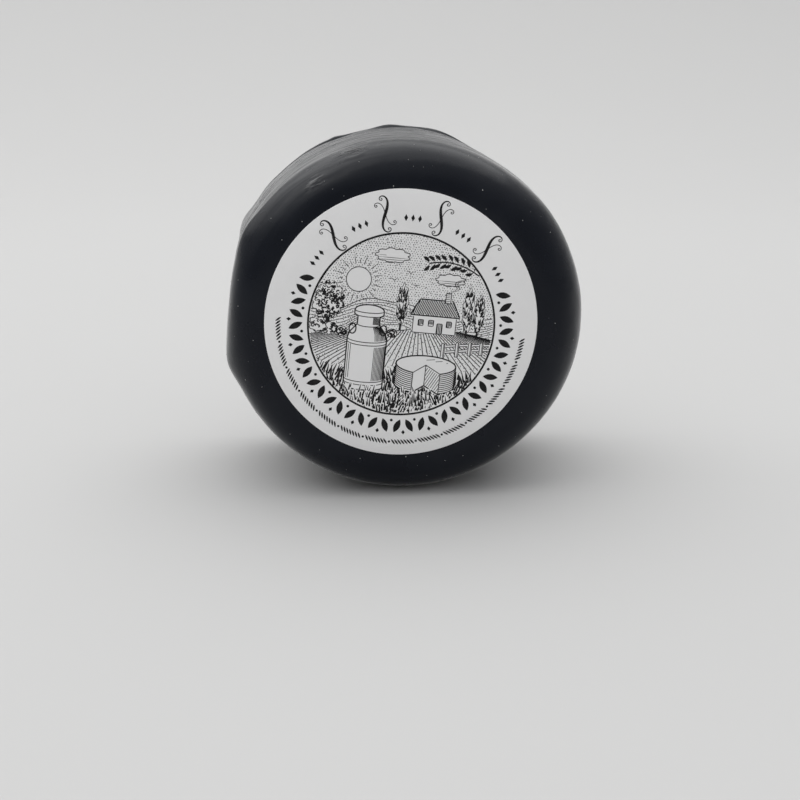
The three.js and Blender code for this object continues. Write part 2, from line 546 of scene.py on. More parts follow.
@dataclass(frozen=True)
class PatchyFinish(Finish):
    """A finish that turns to a second colour in soft patches."""

    other: Colour = (0.0, 0.0, 0.0)
    waves: float = 100
    detail: float = 2
    span: Point2 = (0.4, 0.7)

    def pattern(self, surface: SurfaceTree) -> None:
        """Lays the patches."""
        patches = surface.noise(surface.place, self.waves, self.detail)
        self.tint(surface, surface.ramp(patches, *self.span), self.other)


@dataclass(frozen=True)
class PrintInk(PatchyFinish):
    """Matte black printing ink that lies a little thin in places."""

    other: Colour = (0.02, 0.019, 0.019)
    waves: float = 900
    detail: float = 3
    span: Point2 = (0.45, 0.7)


@dataclass(frozen=True)
class PaleDust(PatchyFinish):
    """Pale specks of dust and flour that cling to the wax, some of them duller."""

    other: Colour = (0.20, 0.20, 0.20)
    waves: float = 130
    detail: float = 1
    span: Point2 = (0.35, 0.6)


@dataclass(frozen=True)
class StudioPaper(Finish):
    """The plain pale paper of the floor and the backdrop, whose tone varies a little over a hand's width."""

    deeper: Colour = (0.54, 0.536, 0.532)
    waves: float = 6
    share: float = 0.3

    def pattern(self, surface: SurfaceTree) -> None:
        """Varies the paper's tone."""
        uneven = surface.times(surface.noise(surface.place, self.waves, 2), self.share)
        self.tint(surface, uneven, self.deeper)


@dataclass(frozen=True)
class Swell:
    """A place where the side is out of round or marked, at an angle and a height above the base."""

    angle: float
    height: float
    turn: float
    rise: float
    out: float

    def at(self, angle: np.ndarray, height: np.ndarray) -> np.ndarray:
        """How far the wax stands out, or how strong the mark is, at points of the side."""
        share = hump(turn_between(angle, self.angle) / self.turn) * hump((height - self.height) / self.rise)
        return self.out * share


@dataclass(frozen=True)
class Stretch:
    """A stretch of the foot, at an angle."""

    angle: float
    turn: float

    def share(self, angle: np.ndarray) -> np.ndarray:
        """The stretch's share at an angle, from 0 to 1."""
        return hump(turn_between(angle, self.angle) / self.turn)


@dataclass(frozen=True)
class FootSwell(Stretch):
    """A stretch where the foot's lip stands out, with a deeper groove above it."""

    out: float
    groove: float


@dataclass(frozen=True)
class Wave:
    """A slow wave round the truckle."""

    cycles: int
    shift: float
    out: float

    def at(self, angle: np.ndarray) -> np.ndarray:
        """How far the wave stands out at an angle."""
        return self.out * np.cos(np.radians(self.cycles * angle + self.shift))


@dataclass(frozen=True)
class Fold:
    """A bowed crease that the wax made as it set. Its slope is counted from level, round the side."""

    angle: float
    height: float
    slope: float
    length: float
    bow: float
    out: float
    width: float = 0.75
    one_sided: float = 0.8
    fades_from: float = 0.6

    def at(self, angle: np.ndarray, height: np.ndarray, radius: float) -> np.ndarray:
        """How far the crease stands out at points of the side.

        Args:
            angle: The points' angles.
            height: Their heights above the base.
            radius: The radius that turns an angle into a length.

        Returns:
            The height of the crease there.
        """
        level = np.radians(turn_between(angle, self.angle)) * radius
        slope = math.radians(self.slope)
        along = level * math.cos(slope) + (height - self.height) * math.sin(slope)
        across = (height - self.height) * math.cos(slope) - level * math.sin(slope)
        share = 2 * along / self.length
        across = across - self.bow * (1 - share**2)
        step = hump(across / self.width) * (1 + self.one_sided * np.tanh(across / self.width * 2))
        return self.out * step * (1 - smooth_step(np.abs(share), self.fades_from, 1.0))


@dataclass
class WaxTruckle:
    """The uncut truckle in its hand-dipped wax."""

    radius: float = 39.8
    depth: float = 45.0
    # How far the label's middle lies to the right of the axis, and above it
    label_off: Point2 = (-0.9, 0.8)
    shoulder_in: float = 9.5
    shoulder_deep: float = 12.1
    shoulder_fullness: float = 2.5
    side_taper: float = 0.4
    side_belly: float = 0.25
    foot_lip_out: float = 0.1
    foot_lip_height: float = 2.6
    lip_inner_share: float = 0.78
    groove_in: float = 0.15
    groove_height: float = 3.6
    side_start: float = 5.4
    base_edge_in: float = 2.2
    base_hollow: float = 0.5
    base_spread: float = 0.7
    foot_edge_up: float = 1.6
    foot_edge_shift: float = 60.0
    # Where the relief sets in and where it is whole: a share of a radius, and millimetres in from the edge
    side_sets_in: float = 0.8
    side_whole: float = 1.5
    foot_sets_in: float = 0.85
    foot_whole: float = 1.0
    edge_sets_in: float = 0.75
    edge_whole_share: float = 0.95
    relief_fades_over: float = 10.0
    # The lip's middle and half height as shares of its height, and where a smooth foot ends above it
    lip_middle: float = 0.45
    lip_half: float = 0.55
    foot_ends_share: float = 2.5
    # Steps of the mesh
    steps_round: int = 640
    base_steps: int = 9
    lip_steps: int = 20
    neck_steps: int = 3
    rise_steps: int = 4
    side_steps: int = 66
    shoulder_steps: int = 36
    face_steps: int = 6
    # Angle, height, turn, rise, out
    side_swells: tuple[Swell, ...] = (
        Swell(174.5, 32, 13, 16, -0.9),
        Swell(194, 33, 6, 12, 0.85),
        Swell(156, 1, 7, 12, 1.35),
        Swell(142, 4, 6, 10, 0.35),
        Swell(104, 4, 13, 10, -0.5),
        Swell(59, 4, 8.5, 14, -0.8),
        Swell(36, 24, 12, 15, 0.5),
        Swell(322, 17, 11, 9, -0.45),
        Swell(345, 12, 12, 12, 0.3),
        Swell(231, 14, 10, 8, -0.4),
        Swell(141, 38.6, 17, 3.0, 0.7),
        Swell(150, 37.0, 7, 4.0, 0.7),
        Swell(153, 29.5, 2.5, 3, -0.45),
        Swell(352, 35, 26, 11, 0.42),
        Swell(20, 35, 26, 11, 0.42),
        Swell(188, 34, 12, 9, 0.2),
    )
    # Angle, turn, out, groove
    foot_swells: tuple[FootSwell, ...] = (
        FootSwell(76, 8, 0.35, 0.35),
        FootSwell(92.5, 4, 0.3, 0.3),
        FootSwell(111.5, 2, 0.2, 0.25),
        FootSwell(214, 25, 0.7, 0.9),
        FootSwell(318, 14, 0.45, 0.55),
        FootSwell(8, 13, 0.4, 0.35),
    )
    # Cycles, shift, out
    side_waves: tuple[Wave, ...] = (Wave(2, 20, 0.12), Wave(3, 75, 0.1), Wave(5, 140, 0.07))
    foot_waves: tuple[Wave, ...] = (Wave(7, 10, 0.1), Wave(11, 95, 0.09), Wave(19, 40, 0.06))
    # Angle, turn
    smooth_feet: tuple[Stretch, ...] = (Stretch(134, 17), Stretch(160, 14), Stretch(48, 16), Stretch(102, 6))
    # Angle, height, slope, length, bow, out, width
    folds: tuple[Fold, ...] = (
        Fold(352, 27, 62, 13, 2.6, 0.26),
        Fold(340, 21, 38, 9, 1.6, 0.2),
        Fold(329, 17, 14, 10, 1.2, 0.16),
        Fold(250, 24, -48, 12, 2.2, 0.24),
        Fold(262, 18, -20, 9, 1.4, 0.18),
        Fold(14, 13, 75, 8, 1.0, 0.16),
        Fold(146, 17, 80, 9, 1.2, 0.14),
        Fold(106, 39.7, 2, 5.5, 0.8, 0.36, 0.35),
        Fold(107, 38.2, 6, 5, -0.5, 0.3, 0.3),
    )
    # Angle, height, turn, rise, strength
    hammered: tuple[Swell, ...] = (
        Swell(322, 12, 20, 9, 1),
        Swell(205, 19, 16, 10, 0.8),
        Swell(274, 30, 13, 8, 0.6),
        Swell(24, 15, 12, 10, 0.6),
    )
    wrinkled: tuple[Swell, ...] = (
        Swell(106, 15, 52, 19, 1),
        Swell(150, 22, 24, 20, 0.8),
        Swell(62, 8, 22, 10, 0.7),
        Swell(235, 10, 30, 9, 0.2),
        Swell(330, 9, 30, 10, 0.15),
    )
    scuffed: tuple[Swell, ...] = (
        Swell(106, 38.2, 3.6, 1.2, 1.3),
        Swell(106, 37.7, 2.8, 0.5, 1.2),
        Swell(121, 42.1, 3.2, 0.9, 0.9),
        Swell(215, 26, 5, 3, 0.35),
        Swell(337, 33, 5, 2, 0.25),
    )
    # Where the pale haze lies: partly dust bloom, partly painted sheen on the upper left shoulder, where
    # light grazes the wax.
    hazed: tuple[Swell, ...] = (
        Swell(120, 33.5, 19, 9, 1),
        Swell(118, 16, 24, 16, 0.3),
        Swell(62, 36, 12, 5, 0.2),
    )
    # Where the marks fade: before the face, across the base (as shares of the radius), and in from the edge
    face_fade: Point2 = (2.5, 0.2)
    base_fade: Point2 = (0.3, 0.6)
    foot_fade: Point2 = (4.0, 2.0)
    least_wrinkled: float = 0.05
    wrinkles_fade_by: float = 0.9
    wrinkles_fade_over: float = 6.0
    face_level: float = 0.1
    under_label_in: float = 0.8
    dust_free_below: float = 1.0
    # Heights of the skin's rolls, wrinkles, dents and grain
    skin_heights: tuple[float, ...] = (0.28, 0.6, 0.4, 0.07)
    # Waves in a metre of its rolls, grain and dents
    skin_waves: tuple[float, ...] = (75.0, 330.0, 390.0)
    dent_softness: float = 0.6
    dent_level: float = 0.45
    finish: BlackWax = BlackWax("black_wax", (0.0022, 0.0038, 0.0085), 0.27, 1.29)

    @property
    def foot(self) -> float:
        """The radius of the side at its foot."""
        return self.radius - self.side_taper

    @property
    def side_end(self) -> float:
        """The height above the base at which the side turns into the shoulder."""
        return self.depth - self.shoulder_deep

    @property
    def face_flat(self) -> float:
        """The radius of the flat part of the face."""
        return self.radius - self.shoulder_in

    def profile(self) -> np.ndarray:
        """The outline from the base to the face: a row of radius and height above the base each."""
        foot = self.foot
        lip = foot + self.foot_lip_out
        share = np.linspace(0, 1, self.base_steps + 1)[1:-1] ** self.base_spread
        base = np.column_stack([share * (lip - self.base_edge_in), self.base_hollow * (1 - share**4)])
        turn = np.linspace(0, np.pi, self.lip_steps + 1)
        out = np.maximum(np.sin(turn), np.where(turn > np.pi / 2, self.lip_inner_share, 0))
        middle = self.foot_lip_height / 2
        edge = np.column_stack([lip - self.base_edge_in * (1 - out), middle * (1 - np.cos(turn))])
        groove = (foot - self.groove_in, self.groove_height)
        neck = np.linspace(edge[-1], groove, self.neck_steps + 1)[1:]
        rise = np.linspace(groove, (foot, self.side_start), self.rise_steps + 1)[1:-1]
        share = np.linspace(0, 1, self.side_steps, endpoint=False)
        across = foot + self.side_taper * share + self.side_belly * np.sin(np.pi * share)
        side = np.column_stack([across, self.side_start + (self.side_end - self.side_start) * share])
        turn = np.linspace(0, np.pi / 2, self.shoulder_steps + 1)
        across = self.face_flat + self.shoulder_in * np.cos(turn)
        above = self.side_end + self.shoulder_deep * np.sin(turn) ** (2 / self.shoulder_fullness)
        shoulder = np.column_stack([across, above])
        face = np.linspace(shoulder[-1], (0.0, self.depth), self.face_steps + 1)[1:-1]
        return np.vstack([base, edge, neck, rise, side, shoulder, face])

    def side_relief(self, angle: np.ndarray, radius: np.ndarray, height: np.ndarray) -> np.ndarray:
        """How far the side's swells, waves and folds leave the round form.

        Args:
            angle: The angles of the points.
            radius: Their radii on the round form.
            height: Their heights above the base.

        Returns:
            How far each point stands out.
        """
        face = smooth_step(self.depth - height, 0, self.relief_fades_over)
        share = smooth_step(radius, self.face_flat * self.side_sets_in, self.radius - self.side_whole) * face
        side = sum(s.at(angle, height) for s in self.side_swells)
        side = side + sum(w.at(angle) for w in self.side_waves)
        side = side + sum(f.at(angle, height, self.radius) for f in self.folds)
        return side * share

    def foot_relief(self, angle: np.ndarray, radius: np.ndarray, height: np.ndarray) -> np.ndarray:
        """How far the foot's lip and groove leave the round form.

        Args:
            angle: The angles of the points.
            radius: Their radii on the round form.
            height: Their heights above the base.

        Returns:
            How far each point stands out.
        """
        calm = np.clip(sum(s.share(angle) for s in self.smooth_feet), 0, 1)
        evening = 1 - smooth_step(height, self.foot_lip_height, self.side_start * self.foot_ends_share)
        even = self.foot + self.foot_lip_out * evening
        filled = calm * (height >= self.foot_lip_height / 2) * np.maximum(even - radius, 0)
        filled = filled * (radius > self.foot - self.base_edge_in) * (height < self.side_end)
        lip = (height - self.foot_lip_height * self.lip_middle) / (self.foot_lip_height * self.lip_half)
        stands = sum(s.out * s.share(angle) for s in self.foot_swells)
        lip = hump(lip) * (stands + (1 - calm) * sum(w.at(angle) for w in self.foot_waves)) + filled
        groove = hump(height - self.groove_height) * sum(s.groove * s.share(angle) for s in self.foot_swells)
        outer = smooth_step(radius, self.radius * self.foot_sets_in, self.radius - self.foot_whole)
        return outer * (lip - groove)

    def edge_relief(self, angle: np.ndarray, radius: np.ndarray, height: np.ndarray) -> np.ndarray:
        """How far the base's edge rises in waves.

        Args:
            angle: The angles of the points.
            radius: Their radii on the round form.
            height: Their heights above the base.

        Returns:
            How far each point lies higher above the base.
        """
        rim = smooth_step(radius, self.radius * self.edge_sets_in, self.radius * self.edge_whole_share)
        low = 1 - smooth_step(height, 0, self.groove_height)
        waves = sum(w.at(angle + self.foot_edge_shift) for w in self.foot_waves)
        return rim * low * self.foot_edge_up * waves

    def marks(
        self, angle: np.ndarray, radius: np.ndarray, height: np.ndarray, level: np.ndarray
    ) -> dict[str, np.ndarray]:
        """The numbers that the skin, the finish and the dust read at each point, by their names.

        Args:
            angle: The angles of the points.
            radius: Their radii on the round form.
            height: Their heights above the base.
            level: Their heights above the floor, in metres.

        Returns:
            The numbers, most of them from 0 to 1.
        """
        start, end = self.face_fade
        rolling = 1 - smooth_step(height, self.depth - start, self.depth - end)
        start, end = self.base_fade
        bare = rolling * smooth_step(radius, self.radius * start, self.radius * end)
        start, end = self.foot_fade
        below = smooth_step(height, self.side_end, self.side_end + self.wrinkles_fade_over)
        below = 1 - self.wrinkles_fade_by * below
        below = below * smooth_step(radius, self.radius - start, self.radius - end)
        covered = (height > self.depth - self.face_level) * (radius < self.face_flat - self.under_label_in)

        def sum_of(places: tuple[Swell, ...], least: float = 0.0) -> np.ndarray:
            """The strengths of several places, added up at each point."""
            return least + sum(place.at(angle, height) for place in places)

        return {
            "skin": rolling,
            "open": (1 - covered) * (level > self.dust_free_below * MM),
            "wrinkled": np.clip(sum_of(self.wrinkled, self.least_wrinkled), 0, 1) * below,
            "hammered": np.clip(sum_of(self.hammered), 0, 1) * bare,
            "scuffed": np.clip(sum_of(self.scuffed), 0, 2) * bare,
            "hazed": np.clip(sum_of(self.hazed), 0, 1) * bare,
        }

    def form(self, axis: Vector) -> Mesh:
        """The dipped form at the frame's place, with its marks.

        Args:
            axis: The middle of the base, in metres.

        Returns:
            The mesh.
        """
        profile = self.profile()
        angle = np.linspace(0, 360, self.steps_round, endpoint=False)[None, :]
        angle, radius, height = np.broadcast_arrays(angle, profile[:, :1], profile[:, 1:])
        out = self.side_relief(angle, radius, height) + self.foot_relief(angle, radius, height)
        up = self.edge_relief(angle, radius, height)
        turn = np.radians(angle)
        across, upright = (radius + out) * np.cos(turn), (radius + out) * np.sin(turn)
        rings = np.stack([across, -(height + up), upright], axis=-1) * MM + np.array(axis)
        first = np.array(axis) + np.array([0, -self.base_hollow * MM, 0])
        last = np.array(axis) + np.array([0, -self.depth * MM, 0])
        mesh = turned_mesh("wax_form", rings, first, last)
        for name, values in self.marks(angle, radius, height, rings[..., 2]).items():
            attribute = mesh.attributes.new(name, "FLOAT", "POINT")
            attribute.data.foreach_set("value", np.append(values.ravel(), [0.0, 0.0]))
        return mesh

    def skin(self, material: Material) -> GeometryTree:
        """The tree that gives the wax its slow rolls, its wrinkles round the side and its hammered dents.

        Args:
            material: The wax's material.

        Returns:
            The finished tree.
        """
        heights = dict(zip(("Roll height", "Wrinkle height", "Dent depth", "Grain"), self.skin_heights))
        sizes = {label: height * MM for label, height in heights.items()}
        sizes |= dict(zip(("Roll waves", "Grain waves", "Dent waves"), self.skin_waves))
        sizes["Dent softness"] = self.dent_softness
        tree = GeometryTree("wax_skin", sizes)
        place = tree.add("GeometryNodeInputPosition").outputs[0]
        roll = tree.less(tree.noise(place, tree.size("Roll waves"), 2), 0.5)
        grain = tree.less(tree.noise(place, tree.size("Grain waves"), 2), 0.5)
        wrinkle = tree.times(tree.less(tree.noise(place, WRINKLE_WAVES, 3), 0.5), tree.attribute("wrinkled"))
        cells = {"Vector": place, "Scale": tree.size("Dent waves"), "Smoothness": tree.size("Dent softness")}
        cells = tree.add("ShaderNodeTexVoronoi", cells, feature="SMOOTH_F1").outputs[0]
        dents = tree.times(tree.less(cells, self.dent_level), tree.attribute("hammered"))
        parts = zip(heights, (roll, wrinkle, dents, grain))
        out = tree.total(*(tree.times(tree.size(label), part) for label, part in parts))
        out = tree.times(out, tree.attribute("skin"))
        normal = tree.add("GeometryNodeInputNormal").outputs[0]
        offset = tree.add("ShaderNodeVectorMath", {0: normal, "Scale": out}, operation="SCALE").outputs[0]
        moved = tree.add("GeometryNodeSetPosition", {"Geometry": tree.start.outputs[0], "Offset": offset})
        tree.close(moved.outputs[0], material)
        return tree

    def build(self, label: Vector, base: float) -> Object:
        """Makes the truckle and sets it on its flat spot.

        Args:
            label: The label's middle, in metres.
            base: Where the label's back lies along the truckle's axis, in metres.

        Returns:
            The finished piece.
        """
        across, up = self.label_off
        axis = Vector((label.x - across * MM, base + self.depth * MM, label.z - up * MM))
        piece = self.skin(self.finish.material()).grow("truckle_wax", self.form(axis))
        for point in piece.data.vertices:
            point.co.z = max(point.co.z, 0.0)
        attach(piece, BODY)
        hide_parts("wax_truckle")
        return piece


@dataclass
class DustSpecks:
    """Specks of dust that cling to the wax, made by scattering one small grain over it."""

    smallest: float = 0.05
    largest: float = 0.14
    flatness: float = 0.6
    apart: float = 1.8
    per_square_metre: float = 26000.0
    seed: int = 11
    finish: PaleDust = PaleDust("pale_dust", (0.52, 0.52, 0.50), 0.9)

    def build(self, wax: Object) -> Object:
        """Scatters the specks over the wax that is in the open.

        Args:
            wax: The finished truckle.

        Returns:
            The finished piece.
        """
        sizes = {
            "Smallest": self.smallest * MM,
            "Largest": self.largest * MM,
            "Flatness": self.flatness,
            "Apart": self.apart * MM,
            "Per square metre": self.per_square_metre,
            "Seed": self.seed,
        }
        tree = GeometryTree("dust_specks", sizes)
        spread = {
            "Mesh": tree.start.outputs[0],
            "Distance Min": tree.size("Apart"),
            "Density Max": tree.size("Per square metre"),
            "Density Factor": tree.attribute("open"),
            "Seed": tree.size("Seed"),
        }
        points = tree.add("GeometryNodeDistributePointsOnFaces", spread, distribute_method="POISSON").outputs
        grain = tree.add("GeometryNodeMeshIcoSphere", {"Radius": 1.0, "Subdivisions": 1}).outputs[0]
        limits = {2: tree.size("Smallest"), 3: tree.size("Largest"), "Seed": self.seed}
        size = tree.add("FunctionNodeRandomValue", limits, data_type="FLOAT").outputs[1]
        thick = tree.times(size, tree.size("Flatness"))
        scale = tree.add("ShaderNodeCombineXYZ", {"X": size, "Y": size, "Z": thick}).outputs[0]
        tree.close(tree.repeat(points["Points"], grain, scale, points["Rotation"]), self.finish.material())
        piece = tree.grow("dust_specks", wax.data.copy())
        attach(piece, BODY)
        return piece


@dataclass
class PaperLabel:
    """The round paper label on the flat of the face."""

    edge_round: float = 0.06
    edge_cut: float = 0.3
    back_ring: float = 0.5
    face_rings: tuple[float, ...] = (0.75, 0.4)
    steps_round: int = 256
    finish: LabelPaper = LabelPaper("label_paper", (0.93, 0.925, 0.925), 0.55)

    def build(self, low: Vector, high: Vector) -> Object:
        """Makes the label in the place that the frame gives it.

        Args:
            low: The lowest corner of the frame's label.
            high: Its highest corner.

        Returns:
            The finished piece.
        """
        middle = (low + high) / 2
        radius = (high.x - low.x) / 2
        edge = self.edge_round * MM
        profile = [(radius * self.back_ring, high.y), (radius, high.y), (radius, low.y + edge)]
        profile += [(radius - edge * self.edge_cut, low.y + edge * self.edge_cut), (radius - edge, low.y)]
        profile += [(radius * share, low.y) for share in self.face_rings]
        turn = np.linspace(0, 2 * np.pi, self.steps_round, endpoint=False)
        rings = [
            np.column_stack([middle.x + r * np.cos(turn), np.full_like(turn, y), middle.z + r * np.sin(turn)])
            for r, y in profile
        ]
        ends = [np.array([middle.x, y, middle.z]) for y in (high.y, low.y)]
        mesh = turned_mesh("label_paper", np.array(rings), *ends)
        mesh.materials.append(self.finish.material())
        piece = add_to_scene("label_paper", mesh)
        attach(piece, BODY)
        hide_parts("paper_label")
        return piece


class Ends(Enum):
    """How a pen line ends."""

    BLUNT = "blunt"
    TAPERED = "tapered"
    SWELLING = "swelling"
    LEAF = "leaf"

    def shares(self, count: int) -> np.ndarray:
        """The pen's width along a line of that many points, as shares of its full width."""
        along = np.linspace(0, 1, count)
        if self is Ends.TAPERED:
            return 1 - 0.8 * along**1.5
        if self is Ends.SWELLING:
            return 0.28 + 0.72 * np.sin(np.pi * along) ** 2
        if self is Ends.LEAF:
            # The first fifth is the stalk
            return 0.12 + 0.88 * np.sin(np.pi * np.clip(along * 1.25 - 0.25, 0, 1)) ** 0.8
        return np.ones(count)


def arc(centre: Point2, radii: Point2, start: float, end: float, count: int = 25) -> np.ndarray:
    """Points along an ellipse.

    Args:
        centre: The ellipse's middle.
        radii: Its half width and half height.
        start: The angle of the first point.
        end: The angle of the last point.
        count: How many points there are.

    Returns:
        The points, one row each.
    """
    turn = np.radians(np.linspace(start, end, count))
    return np.column_stack([centre[0] + radii[0] * np.cos(turn), centre[1] + radii[1] * np.sin(turn)])


def inside(points: np.ndarray, outline: np.ndarray) -> np.ndarray:
    """Which points lie inside a closed outline.

    Args:
        points: The points to test.
        outline: The outline's corners.

    Returns:
        True for each point inside.
    """
    found = np.zeros(len(points), bool)
    low, high = outline.min(axis=0), outline.max(axis=0)
    near = np.all((points >= low) & (points <= high), axis=1)
    if not near.any():
        return found
    x, y = points[near].T
    hit = np.zeros(len(x), bool)
    for (ax, ay), (bx, by) in zip(outline, np.roll(outline, -1, axis=0)):
        if ay != by:
            crosses = (ay > y) != (by > y)
            hit ^= crosses & (x < (bx - ax) * (y - ay) / (by - ay) + ax)
    found[near] = hit
    return found


class Sketch:
    """Pen lines and dots, laid from the front of a picture to its back.

    Each outline that is covered hides what is drawn after it, on a fine grid.
    """

    cell: float = 0.05
    hatch_step: float = 0.5
    row_share: float = 0.87
    dot_range: Point2 = (0.75, 1.2)

    def __init__(self, edge: float, seed: int) -> None:
        """Starts an empty sketch inside a circle.

        Args:
            edge: The circle's radius.
            seed: The seed of all its random draws.
        """
        self.edge = edge
        self.rng = np.random.default_rng(seed)
        self.cells = int(2 * edge / self.cell) + 2
        self.hidden = np.zeros((self.cells, self.cells), bool)
        self.lines: list[PenLine] = []
        self.dots: list[np.ndarray] = []

    def shown(self, points: np.ndarray, region: np.ndarray | None = None) -> np.ndarray:
        """Which points nothing hides yet.

        Args:
            points: The points to test.
            region: An outline that they have to lie in, if one is given.

        Returns:
            True for each point that shows.
        """
        seen = np.hypot(*points.T) < self.edge
        if region is not None:
            seen &= inside(points, region)
        column, row = np.clip((points + self.edge) / self.cell, 0, self.cells - 1).astype(int).T
        return seen & ~self.hidden[row, column]

    def cover(self, outline: np.ndarray) -> None:
        """Hides what is drawn inside an outline from now on.

        Args:
            outline: The outline's corners.
        """
        low = np.clip((outline.min(axis=0) + self.edge) / self.cell, 0, self.cells - 1).astype(int)
        high = np.clip((outline.max(axis=0) + self.edge) / self.cell + 1, 0, self.cells).astype(int)
        column, row = np.meshgrid(np.arange(low[0], high[0]), np.arange(low[1], high[1]))
        points = (np.column_stack([column.ravel(), row.ravel()]) + 0.5) * self.cell - self.edge
        self.hidden[low[1] : high[1], low[0] : high[0]] |= inside(points, outline).reshape(row.shape)

    def line(
        self,
        points: np.ndarray | list,
        width: float,
        region: np.ndarray | None = None,
        ends: Ends = Ends.BLUNT,
        step: float = 0.3,
    ) -> None:
        """Draws one pen line, where nothing hides it.

        Args:
            points: The line's points.
            width: The pen's full width.
            region: An outline that the line stays in.
            ends: How the line ends.
            step: The length of the pieces that it is cut to.
        """
        points = np.asarray(points, float)
        along = np.concatenate([[0], np.cumsum(np.hypot(*np.diff(points, axis=0).T))])
        count = max(3, int(along[-1] / step) + 1)
        even = np.linspace(0, along[-1], count)
        points = np.column_stack([np.interp(even, along, points[:, k]) for k in range(2)])
        widths = width / 2 * ends.shares(count)
        seen = self.shown(points, region)
        starts = np.flatnonzero(seen & ~np.concatenate([[False], seen[:-1]]))
        stops = np.flatnonzero(seen & ~np.concatenate([seen[1:], [False]]))
        for a, b in zip(starts, stops + 1):
            if b - a > 1:
                self.lines.append((points[a:b], widths[a:b]))

    def outline(self, points: np.ndarray, width: float) -> None:
        """Draws a closed outline, which hides what is drawn later."""
        self.line(np.vstack([points, points[:1]]), width)
        self.cover(np.asarray(points, float))

    def hatch(
        self,
        region: np.ndarray,
        slope: float,
        apart: float,
        width: float,
        ends: Ends = Ends.BLUNT,
        wobble: float = 0.0,
    ) -> None:
        """Fills a region with lines that lie side by side.

        Args:
            region: The region's outline.
            slope: The lines' slope in degrees.
            apart: The distance between lines.
            width: The pen's full width.
            ends: How the lines end.
            wobble: How far a line strays from straight.
        """
        turn = math.radians(slope)
        along = np.array([math.cos(turn), math.sin(turn)])
        across = np.array([-along[1], along[0]])
        reach = region @ along
        rows = region @ across
        for row in np.arange(rows.min() + apart / 2, rows.max(), apart):
            t = np.arange(reach.min(), reach.max() + self.hatch_step, self.hatch_step)
            stray = wobble * np.sin(t * 1.1 + row * 2.3) + self.rng.normal(0, wobble / 4, len(t))
            self.line(t[:, None] * along + (row + stray)[:, None] * across, width, region, ends)

    def stipple(self, region: np.ndarray | None, apart: float, size: float, loose: float = 0.2) -> None:
        """Fills a region with dots in staggered rows.

        Args:
            region: The region's outline, or None for all that is still open.
            apart: The distance between dots.
            size: A dot's radius.
            loose: How far a dot strays, as a share of that distance.
        """
        closer = apart * self.row_share
        row, column = np.mgrid[0 : int(2 * self.edge / closer) + 2, 0 : int(2 * self.edge / apart) + 2]
        x = (column + 0.5 * (row % 2)) * apart - self.edge
        y = row * closer - self.edge
        points = np.column_stack([x.ravel(), y.ravel()])
        points += self.rng.normal(0, loose * apart, points.shape)
        points = points[self.shown(points, region)]
        sizes = size * self.rng.uniform(*self.dot_range, len(points))
        self.dots.append(np.column_stack([points, sizes]))


